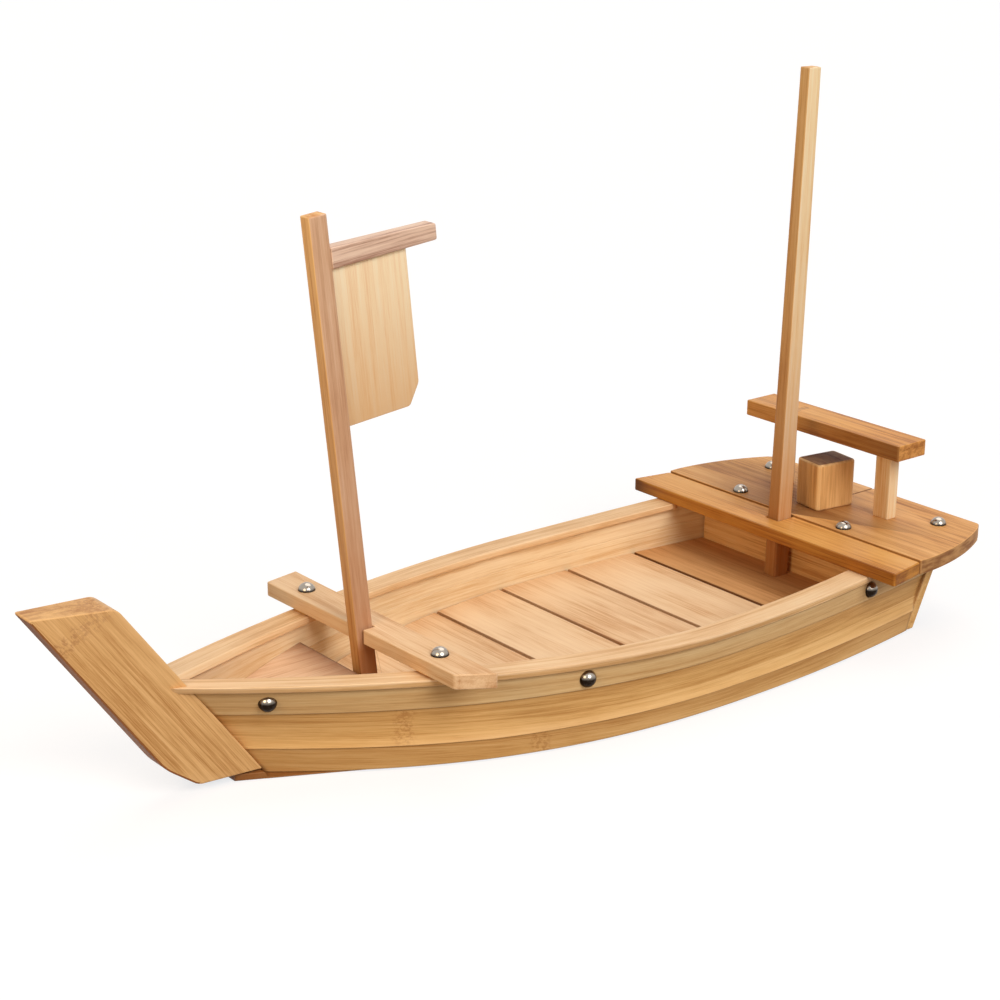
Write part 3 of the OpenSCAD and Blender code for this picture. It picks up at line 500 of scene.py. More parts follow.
# Puts a shape on its body in place of a solid. The piece has the solid's name in camel case, and its
# material is one of the finishes or a material of its own.
def addPiece(node, shape, material, body="boat"):
    name = camelCase(node)
    mesh = bpy.data.meshes.new(name)
    mesh.from_pydata((shape["points"] * mm).tolist(), [], shape["faces"])
    smooth = np.array([len(face) == 4 for face in shape["faces"]])  # lids stay flat
    mesh.polygons.foreach_set("use_smooth", smooth)
    grain = mesh.attributes.new("grain", "FLOAT_VECTOR", "POINT")
    grain.data.foreach_set("vector", (shape["grain"] * mm).astype(np.float32).ravel())
    for layer, key in (("wear", "wear"), ("endGrain", "end"), ("stain", "stain")):
        mesh.attributes.new(layer, "FLOAT", "POINT").data.foreach_set("value", shape[key].astype(np.float32))
    mesh.update()
    mesh.materials.append(wood(material) if isinstance(material, str) else material)
    if "second" in shape:  # some faces have a finish of their own
        chosen, finishName = shape["second"]
        mesh.materials.append(wood(finishName))
        mesh.polygons.foreach_set("material_index", chosen.astype(np.int32))
    piece = bpy.data.objects.new(name, mesh)
    bpy.context.scene.collection.objects.link(piece)
    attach(piece, body)
    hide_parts(node)


def tanOf(degrees):
    return math.tan(math.radians(degrees))


def cosOf(degrees):
    return math.cos(math.radians(degrees))


# the hull's lines, in mm and degrees
hull = dict(railHalf=99, railMid=70, railFore=324, railPower=1.71, railAft=490,
            footHalf=98, footMid=99, footFore=288, footPower=2.38, footAft=423,
            sheerLow=46.2, sheerLowX=74, sheerRise=18.4, sheerPower=1.69, shelf=48.4,
            capFront=-228, capRear=200, capT=4, capW=15.7, wall=11.5, upperIn=2.6, coveIn=3.6, lowerIn=1.3,
            seamUpper=0.354, seamLedge=0.764, lift=0.5, liftStart=-70, liftRun=107, bottomT=4, bowFoot=0.5,
            stemFoot=-174.1, stemLean=36, transomFoot=247.6, transomLean=33.8, transomT=5.5, fit=0.2)
sides = ("port", "starboard")


# Half width at rail and foot: full amidships, closing by a power curve to the bow and a parabola
# to the stern.
def halfWidth(x, line):
    half, middle, fore, power, aft = [hull[line + part] for part in ("Half", "Mid", "Fore", "Power", "Aft")]
    d = x - middle
    return half * (1 - np.where(d < 0, np.power(np.maximum(-d, 0) / fore, power), (d / aft) ** 2))


def railY(x):
    return halfWidth(x, "rail")


# Rail height: a power curve up to the bow, a parabola up to the stern shelf.
def sheer(x):
    d = np.asarray(x, float) - hull["sheerLowX"]
    fore = np.power(np.maximum(d / (hull["capFront"] - hull["sheerLowX"]), 0), hull["sheerPower"])
    aft = rising(d, hull["capRear"] - hull["sheerLowX"]) ** 2
    rise = np.where(d < 0, hull["sheerRise"] * fore, (hull["shelf"] - hull["sheerLow"]) * aft)
    return hull["sheerLow"] + rise


# Height of the side's foot: level, then climbing evenly to the bow.
def footRise(x, rise):
    return hull["lift"] + rise * rising(hull["liftStart"] - x, hull["liftRun"])


def footZ(x):
    return footRise(x, hull["bottomT"] - hull["lift"])


# The lower strake's foot as the photograph shows it: at the bow it reaches lower than the solid's.
def lowFoot(x):
    return footRise(x, hull["bowFoot"])


# Half width of the side: straight from rail to foot.
def sideY(x, z):
    share = (sheer(x) - z) / (sheer(x) - footZ(x))
    return railY(x) + (halfWidth(x, "foot") - railY(x)) * share


def innerY(x, z):
    return np.maximum(sideY(x, z) - hull["wall"], sideY(x, z) / 3)


def seamZ(x, share):
    return sheer(x) - (sheer(x) - footZ(x)) * share


def stemBack(z):
    return hull["stemFoot"] - tanOf(hull["stemLean"]) * z


def transomBack(z):
    return hull["transomFoot"] + tanOf(hull["transomLean"]) * z


transomRun = hull["transomT"] / cosOf(hull["transomLean"])


def transomFront(z):
    return transomBack(z) - transomRun


# Places along a line of the side: a few turns bring its ends onto the leaning stem and transom.
def lineX(u, height, start, stop):
    x = 0 * u
    for _ in range(8):
        z = height(x)
        x = start(z) + (stop(z) - start(z)) * u
    return x


# A strip of the side: its section corners are carried from end to end. A corner is a height line and a
# set-back from the side, where None means the inner face of the wall.
def sideStrip(corners, radii, side, seed, start=stemBack, stop=transomFront, count=180, **more):
    u = np.linspace(0, 1, count)
    lines = []
    for height, setBack in corners:
        x = lineX(u, height, start, stop)
        z = height(x)
        y = innerY(x, z) if setBack is None else sideY(x, z) - setBack
        lines.append((x, np.maximum(y, hull["fit"]), z))
    inner = [setBack is None for _, setBack in corners]
    return finishStrip(sectionLines(*lines), radii, side, seed, inner, **more)


bowShade = dict(amount=0.35, x=-125, run=70)  # the hull's inside darkens towards the bow


# inner marks the corners on the inside of the hull; the faces between them get the paler inside finish,
# which is partly painted light. The seam shares give each corner's painted shade along the seams, and the
# highlight shares its painted highlight.
def finishStrip(lines, radii, side, seed, inner, seams=None, innerFinish=insideFinish, worn=None):
    rings, wear = roundRings(lines, radii)

    def perPoint(values):
        return np.concatenate([np.full(1 if r == 0 else arcPoints, v) for r, v in zip(radii, values)])

    none = [0.0] * len(radii)
    atInner = perPoint(inner)
    x, y, z = np.moveaxis(rings, -1, 0)
    grain = np.stack([x, sheer(x) - z, sideY(x, z) - y], -1) + grainShift(seed)
    stain = perPoint(seams or none) * np.maximum(wear, 0.5)
    if innerFinish == insideFinish:
        stain = stain + bowShade["amount"] * atInner * rising(bowShade["x"] - x, bowShade["run"])
    if side == "port":
        rings = rings * np.array([1, -1, 1])
    between = np.tile(atInner & np.roll(atInner, -1), len(rings) - 1)
    return makeShape(rings, grain, np.maximum(wear, perPoint(worn or none)), stain,
                     second=sideFaces(between, innerFinish))


def dropLine(drop):
    return lambda x: sheer(x) - drop


def seamLine(share):
    return lambda x: seamZ(x, share)


def fixedX(value):
    return lambda z: value + 0 * z


rail, underCap = dropLine(0), dropLine(hull["capT"])
upperSeam, ledge = seamLine(hull["seamUpper"]), seamLine(hull["seamLedge"])
coveSteps = 14
coveShares = np.linspace(1, 0, coveSteps)  # the cove's depth falls off by the fourth power towards the ledge
coveCorners = [(seamLine(hull["seamUpper"] + (hull["seamLedge"] - hull["seamUpper"]) * t),
                hull["coveIn"] * (1 - t ** 4)) for t in coveShares]
strakeMark = 0.5  # how strongly a port strake shows its mark
# seam values paint shade along each strake's seams and under the ledge; the middle strake's ledge gets a
# painted highlight
strakes = {
    "lower_strake": dict(finish="sideBoard", seeds=(1.3, 4.1), mark=-0.0445, radii=[0.6, 0.5, 0.5, 0.9],
                         corners=[(ledge, hull["lowerIn"]), (ledge, None), (lowFoot, None), (lowFoot, 0)],
                         seams=[0.5, 0, 0, 0.25]),
    "middle_strake": dict(finish="sideBoard", seeds=(2.2, 5.7), mark=-0.115,
                          radii=[0.5, 0.5, 1.9] + [0] * (coveSteps - 2) + [0.5],
                          corners=[(upperSeam, None), (ledge, None)] + coveCorners,
                          seams=[0, 0] + list(0.25 * np.clip(1 - coveShares / 0.2, 0, 1)[:-1]) + [0.45],
                          worn=[0, 0] + list(1.8 * np.clip(1 - (1 - coveShares) / 0.25, 0, 1))),
    "upper_strake": dict(finish="upperBoard", seeds=(3.6, 6.4), mark=0.0, radii=[0.4, 0.4, 0.5, 0.7],
                         corners=[(underCap, hull["upperIn"]), (underCap, None), (upperSeam, None),
                                  (upperSeam, hull["upperIn"])],
                         seams=[0.5, 0, 0, 0.3]),
}
for label, s in strakes.items():
    for side, seed in zip(sides, s["seeds"]):
        node = side + "_" + label
        amount = strakeMark if s["mark"] and side == "port" else 0.0
        mark = s["mark"] + grainShift(seed)[0] * mm
        material = makeWood(camelCase(node), s["finish"], mark=mark, markAmount=amount)
        shape = sideStrip(s["corners"], s["radii"], side, seed, seams=s["seams"], worn=s.get("worn"))
        addPiece(node, shape, material)

# Riser: carries the rail's height on from the rear beam to the transom.
riser = dict(front=hull["capRear"] + hull["fit"], radii=[0.5] * 4, seed=7.1,
             corners=[(rail, hull["upperIn"]), (rail, None), (underCap, None), (underCap, hull["upperIn"])])
for side in sides:
    shape = sideStrip(riser["corners"], riser["radii"], side, riser["seed"],
                      start=fixedX(riser["front"]), count=30)
    addPiece(side + "_riser", shape, "upperBoard")

stem = dict(low=5, top=117.6, topDrop=3.6, deep=45.5, frontLean=35.1, foot=36.3, bevel=13.6,
            half=12.0, frontHalf=7.5, radii=[1.4, 4.0, 2.4, 6.0, 3.0], ease=0.9, seed=25,
            end=0.9, endReach=8, endRun=3, flecks=24.0, fleckAmount=0.55)


def stemFront(z):
    return hull["stemFoot"] - stem["deep"] - tanOf(stem["frontLean"]) * z


# Half thickness of the stem: it falls evenly from its rear face to its front edge.
def stemHalf(x, z):
    slope = (stem["half"] - stem["frontHalf"]) / (stem["deep"] * cosOf(hull["stemLean"]))
    return stem["half"] - slope * (stemBack(z) - x) * cosOf(hull["stemLean"])


railCap = dict(radii=[0.9, 0.8, 0.6, 0.8], gap=0.1, seeds=(8.3, 9.9), tipIn=6, fade=30, edge=0.9,
               wear=1.8, wearX=-140, wearRun=60, stain=0.2, stainX=20, shadeRun=90)


# Rail cap: a flat strip that narrows to a tip beside the stem. Its inner edge ends on the stem's rear
# face and its tip lies against the stem's side.
def railCapShape(side, seed):
    c = railCap
    meet = stemBack(float(sheer(hull["capFront"] + c["tipIn"])) - hull["capT"] / 2)
    tip = np.linspace(hull["capFront"], meet, 10)
    xs = np.concatenate([tip, np.linspace(meet + c["gap"], hull["capRear"], 190)])
    onStem = np.arange(len(xs)) < len(tip)
    lines = []
    for drop, inner in ((0, False), (0, True), (hull["capT"], True), (hull["capT"], False)):
        z = sheer(xs) - drop
        x = xs
        if inner:
            fade = np.clip(1 - (xs - meet) / c["fade"], 0, 1)
            x = xs + fade * (stemBack(z) - stemBack(sheer(meet) - hull["capT"] / 2))
        y = sideY(x, z) - (hull["capW"] if inner else 0)
        y = np.where(onStem & inner, np.minimum(stemHalf(x, z) + c["gap"], sideY(x, z) - 0.3), y)
        lines.append((x, np.maximum(y, hull["fit"]), z))
    onTop = [True, True, True, False]
    shape = finishStrip(sectionLines(*lines), c["radii"], side, seed, onTop, innerFinish="railTop")
    x, y, z = shape["points"].T
    edge = np.abs(y) > sideY(x, z) - c["edge"]  # painted light makes the outer edge paler at the bow, painted shade makes it darker amidships
    toBow = rising(c["wearX"] - x, c["wearRun"])
    shape["wear"] = np.maximum(shape["wear"], c["wear"] * edge * toBow)
    shape["stain"] += c["stain"] * edge * np.exp(-((x - c["stainX"]) / c["shadeRun"]) ** 2)
    return shape


for side, seed in zip(sides, railCap["seeds"]):
    addPiece(side + "_rail_cap", railCapShape(side, seed), "railBoard")
print("sides built")

bottomBoard = dict(front=-192, tipHalf=7.7, tipSlope=0.5, step=-100, stepRun=0.5, radius=0.5, seed=11.0,
                   stain=0.9, shadePower=0.3)


# Bottom board: a thin sole under the sides at the bow, then a plate between them. The sole carries painted
# shade, deepest at the bow under the stem.
def bottomShape():
    b = bottomBoard
    soleX = np.linspace(b["front"], b["step"], 60)
    soleY = b["tipHalf"] + b["tipSlope"] * (soleX - b["front"])
    soleZ = np.where(soleX < stemBack(hull["bottomT"]), hull["bottomT"], lowFoot(soleX)) - hull["fit"]
    plateX = np.linspace(b["step"] + b["stepRun"], transomFront(0) - hull["fit"], 120)
    plateY = np.minimum(innerY(plateX, footZ(plateX)), innerY(plateX, hull["bottomT"]))
    x = np.concatenate([soleX, plateX])
    y = np.concatenate([soleY, plateY]) - hull["fit"]
    z = np.concatenate([soleZ, np.full(len(plateX), hull["bottomT"])])
    lines = sectionLines((x, y, z), (x, -y, z), (x, -y, 0 * z), (x, y, 0 * z))
    shape = stripShape(lines, b["radius"], b["seed"])
    dark = rising(b["step"] - shape["points"][:, 0], b["step"] - b["front"])
    shape["stain"] = b["stain"] * dark ** b["shadePower"]
    return shape


addPiece("bottom_board", bottomShape(), "sideBoard")

floor = dict(top=19, thick=5, groove=1.9, pitch=54.4, last=57.4, count=6, front=-114.3, rear=224.8, ease=0.6,
             corner=1.2, side=0.4, seed=12, seedStep=1.37, edgeStain=0.75, wallShade=0.3,
             battenW=14, battenClear=2, battenRadius=1, battenEase=0.5, battenSeed=20)
floorLow = floor["top"] - floor["thick"]


def plankRear(i):
    if i == floor["count"]:
        return floor["rear"]
    return floor["rear"] - floor["last"] - (floor["count"] - 1 - i) * floor["pitch"]


def plankFront(i):
    return floor["front"] if i == 1 else plankRear(i - 1) + floor["groove"]


# Floor plank: its ends follow the inner face of the sides. Its long edges carry painted shade of the grooves
# between planks.
def plankShape(i):
    a, b = plankFront(i), plankRear(i)
    x = np.linspace(a, b, 24)
    y = innerY(x, floorLow) - floor["side"]
    corners = [(a, -y[0]), (b, -y[-1]), (b, y[-1]), (a, y[0])]
    curve = np.column_stack([x, y])[2:-2]
    outline = roundOutline(corners, [floor["corner"]] * 4, {0: curve * [1, -1], 2: curve[::-1]})
    shape = board(outline, floorLow, floor["top"], floor["ease"], seed=floor["seed"] + floor["seedStep"] * i)
    px, _, pz = shape["points"].T
    atEdge = np.minimum(px - a, b - px) < floor["ease"] + 0.02
    shape["stain"] = atEdge * np.where(pz > floor["top"] - 0.5, floor["edgeStain"], floor["wallShade"])
    return shape


for i in range(1, floor["count"]):
    addPiece("floor_plank_" + str(i), plankShape(i), "peachBoard")


# Solids of the frame that keep their shape get a wood that follows their object axes, and eased edges where
# an ease is given.
def carry(nodeName, finishName, order, shift=(0.0, 0.0, 0.0), ease=None, grooveShadeTo=None):
    piece = cadNodes[nodeName]
    material = makeWood(nodeName + "Wood", finishName, order, shift, grooveShadeTo=grooveShadeTo)
    for spot in piece.material_slots:
        spot.material = material
    if ease:
        weld = piece.modifiers.new("weld", "WELD")
        weld.merge_threshold = 0.00001
        bevel = piece.modifiers.new("bevel", "BEVEL")
        bevel.width, bevel.segments, bevel.limit_method = ease * mm, 2, "ANGLE"
        bevel.angle_limit, bevel.use_clamp_overlap = math.radians(40), True


lastFront = (plankFront(floor["count"]) + floor["ease"]) * mm
# the last plank, under the rear beam, takes a darker copy of the floor's wood: painted shade of the beam
carry("floor_plank_6", "aftBoard", (1, 0, 2), (3.1, 0.4, 0.1), floor["ease"], lastFront)
carry("front_mast_step", "peachBoard", (1, 0, 2), (1.7, 0.2, 0.3), ease=0.5)
for nodeName in ("rear_beam_dowels", "deck_batten_dowels", "post_dowels", "cabin_dowels"):
    carry(nodeName, "poleWood", (2, 0, 1))
carry("yard_dowel", "poleWood", (0, 1, 2))

battenHalf = floor["battenW"] / 2
battenY = float(innerY(floor["front"], hull["bottomT"])) - floor["battenClear"] - battenHalf
for label, middle in {"port": -battenY, "middle": 0.0, "starboard": battenY}.items():
    shape = barShape(floor["front"], floor["rear"], middle - battenHalf, middle + battenHalf, hull["bottomT"],
                     floorLow, floor["battenRadius"], floor["battenEase"], "pqh",
                     floor["battenSeed"] + middle * 0.01)
    addPiece("floor_batten_" + label, shape, "sideBoard")


# An upright plate across the hull, with half width a at its foot and b at its top.
def crossPlate(a, b, low, high, start, thick, ease, seed, front=fixedX(0)):
    outline = roundOutline([(-a, low), (a, low), (b, high), (-b, high)], [1] * 4)
    return board(outline, start, start + thick, ease, lambda p, q, h: (front(q) + h, p, q), "pqh", seed)


bulkheads = dict(thick=8, ease=0.6, bowDeckTop=41, bowDeckT=5, bowDeckX=-114.5, sternX=225,
                 bowSeed=22, sternSeed=23)
bowDeckLow = bulkheads["bowDeckTop"] - bulkheads["bowDeckT"]
bowFront = bulkheads["bowDeckX"] - bulkheads["thick"]


# Bulkhead: its edges follow the inside of the hull at its tighter end.
def bulkheadShape(front, tight, high, seed):
    low = hull["bottomT"]
    a, b = [float(innerY(tight, z)) - hull["fit"] for z in (low, high)]
    return crossPlate(a, b, low, high, front, bulkheads["thick"], bulkheads["ease"], seed)


bowBulkhead = bulkheadShape(bowFront, bowFront, bowDeckLow, bulkheads["bowSeed"])
addPiece("bow_bulkhead", bowBulkhead, "sideBoard")
sternTight = bulkheads["sternX"] + bulkheads["thick"]
sternBulkhead = bulkheadShape(bulkheads["sternX"], sternTight, hull["shelf"], bulkheads["sternSeed"])
# its pale finish is painted light: it stands in for light from the bow reaching under the rear beam
addPiece("stern_bulkhead", sternBulkhead, "poleWood")

bowDeck = dict(radius=0.4, seed=24, stain=0.7, shadeRun=26, shadePower=1.3)


# Bow deck: a flat plate with edges cut to the leaning sides, from the stem to its straight rear edge,
# where it carries painted shadow of the beam.
def bowDeckShape():
    rear, top = bulkheads["bowDeckX"], bulkheads["bowDeckTop"]
    u = np.linspace(0, 1, 60)
    lines = []
    for z, sign in ((top, 1), (top, -1), (bowDeckLow, -1), (bowDeckLow, 1)):
        front = stemBack(z) + hull["fit"] / 2
        x = front + (rear - front) * u
        lines.append((x, sign * (innerY(x, z) - hull["fit"]), z + 0 * x))
    shape = stripShape(sectionLines(*lines), bowDeck["radius"], bowDeck["seed"])
    dark = rising(shape["points"][:, 0] - rear + bowDeck["shadeRun"], bowDeck["shadeRun"])
    shape["stain"] = bowDeck["stain"] * dark ** bowDeck["shadePower"]
    return shape


addPiece("bow_deck", bowDeckShape(), "bowDeckBoard")
print("bottom, floor and bulkheads built")


# Stem board: an outline in the plane of the keel, with the thickness falling from the rear to the front edge.
# The grain follows its lean, and only its top end shows end grain.
def stemShape():
    lean = math.radians(hull["stemLean"])
    low, top, rearTop = stem["low"], stem["top"], stem["top"] - stem["topDrop"]
    bevelTop = low + stem["bevel"]
    corners = [(stemBack(low), low), (stemBack(rearTop), rearTop), (stemFront(top), top),
               (stemFront(bevelTop), bevelTop), (stemBack(low) - stem["foot"], low)]

    def place(p, q, h):
        return p, h * stemHalf(p, q) / stem["half"], q

    outline = roundOutline(corners, stem["radii"])
    shape = board(outline, -stem["half"], stem["half"], stem["ease"], place, "pqh")
    x, y, z = shape["points"].T
    along = -x * math.sin(lean) + z * math.cos(lean)
    across = x * math.cos(lean) + z * math.sin(lean)
    shape["grain"] = np.stack([along, across, y], -1) + grainShift(stem["seed"])
    atTop = rising(along - along.max() + stem["endReach"], stem["endRun"])
    offLids = rising(0.99 - np.abs(y) / stemHalf(x, z), 0.03)
    shape["end"] = stem["end"] * atTop * offLids
    # the faces turned to the front take a dark copy of the stem's wood: painted shade
    toFront = shape["facing"] @ [math.cos(lean), math.sin(lean)] < -0.8
    shape["second"] = sideFaces(toFront, "stemEdge")
    return shape


stemPiece = stemShape()
fleckPlace = (stemPiece["grain"][:, 0].max() - stem["flecks"]) * mm
stemWood = makeWood("stemWood", "stemBoard", mark=fleckPlace, markAmount=stem["fleckAmount"])
addPiece("stem_board", stemPiece, stemWood)

transom = dict(ease=0.4, seed=26, slitShade=0.9, slitDeep=0.5, slitFrom=0.45)


# Transom: a leaning plate on the rear ends of the sides, with painted shade in a slit beside the upper
# strake.
def transomShape():
    low, high = hull["lift"], hull["shelf"]
    a = float(sideY(transomFront(low), low)) - hull["lowerIn"] / 2
    b = float(sideY(transomFront(high), high)) - hull["upperIn"]
    shape = crossPlate(a, b, low, high, 0, transomRun, transom["ease"], transom["seed"], transomFront)
    x, _, z = shape["points"].T
    shape["end"] = 0 * z
    inSlit = (x - transomFront(z) < transom["slitDeep"]) & (z > transom["slitFrom"] * high)
    shape["stain"] = transom["slitShade"] * inSlit
    return shape


addPiece("transom", transomShape(), "sideBoard")

frontBeam = dict(x=-109.8, w=22.8, taper=3.6, half=86.7, splay=4.5, port=84, portSplay=12.3, thick=8.4,
                 gap=1.0, notchGap=1.3, ease=0.75, support=0.2, seed=27,
                 radii=[1.6, 0.8, 0.5, 0.5, 0.8, 1.6, 1.6, 1.6])
frontMast = dict(w=8.6, d=11, x=-101.2, lean=6.0, length=273, foot=0.88, play=0.4, taperFrom=60.0, top=1.0,
                 shaded=36.0, aged=0.5, seed=37.3, sides="poleRose")
# the rear mast's sides take the paler polePale finish: painted light from port
rearMast = dict(w=9.4, d=12, x=215, lean=1.6, length=317, foot=-4.53, play=0.4, taperFrom=44.4, top=0.83,
                shaded=28.0, aged=0.75, seed=38.8, sides="polePale")
frontBeamZ = float(sheer(frontBeam["x"])) + frontBeam["gap"]
frontBeamTop = frontBeamZ + frontBeam["thick"]


# A notch's end wall at a height: the mast's half depth and play away from its leaning axis.
def notchWall(mast, sign, height):
    reach = (mast["d"] / 2 + mast["play"]) / cosOf(mast["lean"])
    return mast["x"] + sign * (reach - tanOf(mast["lean"]) * (height - floor["top"]))


# Front beam: a splayed board, narrower to port, with a notch open to the bow, whose end wall leans
# with the mast.
def frontBeamShape():
    f = frontBeam
    middle = frontBeamZ + f["thick"] / 2
    wallX = notchWall(frontMast, 1, middle)
    slit = frontMast["w"] / 2 + f["notchGap"]
    a, b = f["x"], f["x"] + f["w"]
    slope = f["taper"] / (f["half"] + f["port"])
    corners = [(a, f["half"]), (a + slope * (f["half"] - slit), slit), (wallX, slit), (wallX, -slit),
               (a + slope * (f["half"] + slit), -slit), (a + f["taper"], -f["port"]),
               (b, -f["port"] - f["portSplay"]), (b, f["half"] + f["splay"])]
    outline = roundOutline(corners, f["radii"])
    x, y = outline[0].T
    lean = tanOf(frontMast["lean"]) * ((np.abs(x - wallX) < 1.2) & (np.abs(y) < slit + 1))

    def place(p, q, h):
        return p - lean[None] * (h - middle), q, h

    return board(outline, frontBeamZ, frontBeamTop, f["ease"], place, seed=f["seed"], support=f["support"])


addPiece("front_beam", frontBeamShape(), "peachBoard")

wedges = dict(inset=2, w=11, margin=2, clear=0.02, radii=[0.3] * 4, seed=28)


# Packing under the front beam: from the sloping rail up to the level beam.
def wedgeShape(side):
    front = frontBeam["x"] + wedges["margin"] + (frontBeam["taper"] if side == "port" else 0)
    x = np.linspace(front, frontBeam["x"] + frontBeam["w"] - wedges["margin"], 24)
    outer = railY(x) - wedges["inset"]
    inner = outer - wedges["w"]
    low = sheer(x) + wedges["clear"]
    lines = sectionLines((x, outer, frontBeamZ), (x, inner, frontBeamZ), (x, inner, low), (x, outer, low))
    return finishStrip(lines, wedges["radii"], side, wedges["seed"], [False] * 4)


addPiece("front_beam_wedges", together(*map(wedgeShape, sides)), "sideBoard")

rearBeam = dict(x=195.8, rear=223.3, half=113.8, taper=4.8, thick=8, ease=0.8, support=0.2, seed=29,
                radii=[1.8, 1.8, 1.6, 0.8, 0.5, 0.5, 0.8, 1.6], stain=0.75, shadeFrom=14, shadeRun=10)
rearBeamTop = hull["shelf"] + rearBeam["thick"]


# Rear beam: a tapered board with a notch open to the stern. Its top takes a paler copy of its wood as
# painted light, and the front face at its far end carries painted shade.
def rearBeamShape():
    r = rearBeam
    wallX = notchWall(rearMast, -1, hull["shelf"] + r["thick"] / 2)
    slit = rearMast["w"] / 2 + rearMast["play"]
    back = r["half"] - r["taper"]
    corners = [(r["x"], r["half"]), (r["x"], -r["half"]), (r["rear"], -back), (r["rear"], -slit),
               (wallX, -slit), (wallX, slit), (r["rear"], slit), (r["rear"], back)]
    front = np.linspace(r["half"] - 4, 4 - r["half"], 40)
    outline = roundOutline(corners, r["radii"], {0: np.column_stack([r["x"] + 0 * front, front])})
    shape = board(outline, hull["shelf"], rearBeamTop, r["ease"], seed=r["seed"], support=r["support"])
    x, y, z = shape["points"].T
    atFront = (x < r["x"] + 2) & (z < rearBeamTop - 0.2)
    shape["stain"] = r["stain"] * atFront * rising(y - r["half"] + r["shadeFrom"], r["shadeRun"])
    topLid = [len(face) > 4 and z[face].mean() > z.mean() for face in shape["faces"]]
    shape["second"] = (np.array(topLid), "amberTop")
    return shape


addPiece("rear_beam", rearBeamShape(), "amberBoard")

deck = dict(thick=9, front=223.7, rear=303, half=109.5, arc=160, seam=0.4, ease=0.5,
            radii=[0.5, 1.2, 3.0, 1.6], seamShade=0.8, rimShade=0.4, battenX=0.2, battenD=10, battenH=8,
            battenHalf=74, battenRadius=1.2, battenEase=0.7, battenSeed=32)
deckTop = hull["shelf"] + deck["thick"]


# Stern deck half: straight at the beam and the seam, with its outer edge on a circle. Its seam and
# rim carry painted shade.
def deckShape(sign, seed):
    front, rear, seamY = deck["front"], deck["rear"], deck["seam"] / 2
    x = np.linspace(front, rear, 60)
    y = deck["half"] - deck["arc"] + np.sqrt(deck["arc"] ** 2 - (x - front) ** 2)
    corners = np.array([(front, seamY), (rear, seamY), (rear, y[-1]), (front, deck["half"])])
    curve = np.column_stack([x, y])[4:-4][::-1]
    flip = np.array([1, sign])
    outline = roundOutline(corners * flip, deck["radii"], {2: curve * flip})
    shape = board(outline, hull["shelf"], deckTop, deck["ease"], seed=seed)
    _, py, pz = shape["points"].T
    seam = (np.abs(py) < 0.72) & (pz > hull["shelf"] + 1)
    rim = (np.abs(py) > 0.9) & (pz < deckTop - 0.2)
    shape["stain"] = deck["seamShade"] * seam + deck["rimShade"] * rim
    return shape


for side, sign, seed in (("starboard", 1, 43.6), ("port", -1, 44.9)):
    addPiece(side + "_stern_deck", deckShape(sign, seed), "deckBoard")

battenX = transomBack(hull["shelf"]) + deck["battenX"]
deckBatten = barShape(battenX, battenX + deck["battenD"], -deck["battenHalf"], deck["battenHalf"],
                      hull["shelf"] - deck["battenH"], hull["shelf"], deck["battenRadius"],
                      deck["battenEase"], "qph", deck["battenSeed"])
addPiece("deck_batten", deckBatten, "sideBoard")

sternRail = dict(x=248.6, w=25.4, half=65, thick=10, gap=44.9, radius=1.2, ease=0.7, seed=33,
                 frontStain=0.7, endShare=0.35, postW=12.4, postD=8.2, postIn=3, postY=(-41.5, 46),
                 postRadius=0.9, postEase=0.4, postSeeds=(34.2, 35.6), postStain=0.2)
barZ = deckTop + sternRail["gap"]
barTop = barZ + sternRail["thick"]


# Stern rail's bar: its front carries painted shade, darker towards port.
def railBarShape():
    front, half = sternRail["x"], sternRail["half"]
    shape = barShape(front, front + sternRail["w"], -half, half, barZ, barTop, sternRail["radius"],
                     sternRail["ease"], "qph", sternRail["seed"])
    x, y, z = shape["points"].T
    onFront = (x < front + 0.9) & (z < barTop - 0.2)
    shape["stain"] = sternRail["frontStain"] * onFront * np.clip(0.5 - y / half / 2, 0, 1)
    shape["end"] *= sternRail["endShare"]
    return shape


addPiece("rail_bar", railBarShape(), "amberTop")
postX = sternRail["x"] + sternRail["w"] - sternRail["postD"] - sternRail["postIn"]
postHalf = sternRail["postW"] / 2
for side, y, seed in zip(sides, sternRail["postY"], sternRail["postSeeds"]):
    shape = barShape(postX, postX + sternRail["postD"], y - postHalf, y + postHalf, deckTop, barZ,
                     sternRail["postRadius"], sternRail["postEase"], "hqp", seed)
    shape["stain"] += sternRail["postStain"]
    addPiece(side + "_rail_post", shape, "polePale")

cabin = dict(l=29.5, w=22.5, h=30.5, x=255.5, y=-1, turn=-8, radius=2.8, ease=1.4, seed=36, topShade=0.8)


# Cabin block: a rounded block turned about its upright axis. Its top carries painted shadow of the rail bar.
def cabinShape():
    turn = math.radians(cabin["turn"])
    l, w, top = cabin["l"] / 2, cabin["w"] / 2, deckTop + cabin["h"]

    def place(p, q, h):
        return (cabin["x"] + p * math.cos(turn) - q * math.sin(turn),
                cabin["y"] + p * math.sin(turn) + q * math.cos(turn), h)

    shape = barShape(-l, l, -w, w, deckTop, top, cabin["radius"], cabin["ease"], "hqp", cabin["seed"],
                     place=place)
    shape["stain"] = cabin["topShade"] * (shape["points"][:, 2] > top - 0.02)
    return shape


addPiece("cabin_block", cabinShape(), "cabinBoard")
print("beams, deck, rail and cabin built")


# Masts and sail are made upright in the mast's own axes, then leaned about the mast's foot.
def leanBy(mast, degrees):
    angle = math.radians(degrees)

    def place(x, y, z):
        return (mast["x"] + x * math.cos(angle) + z * math.sin(angle), y,
                floor["top"] - x * math.sin(angle) + z * math.cos(angle))

    return place


leanFront = leanBy(frontMast, -frontMast["lean"])
leanRear = leanBy(rearMast, rearMast["lean"])
mastLook = dict(radius=1.2, ease=0.7, middle=160.0, step=4, below=0.85, ageRun=200)
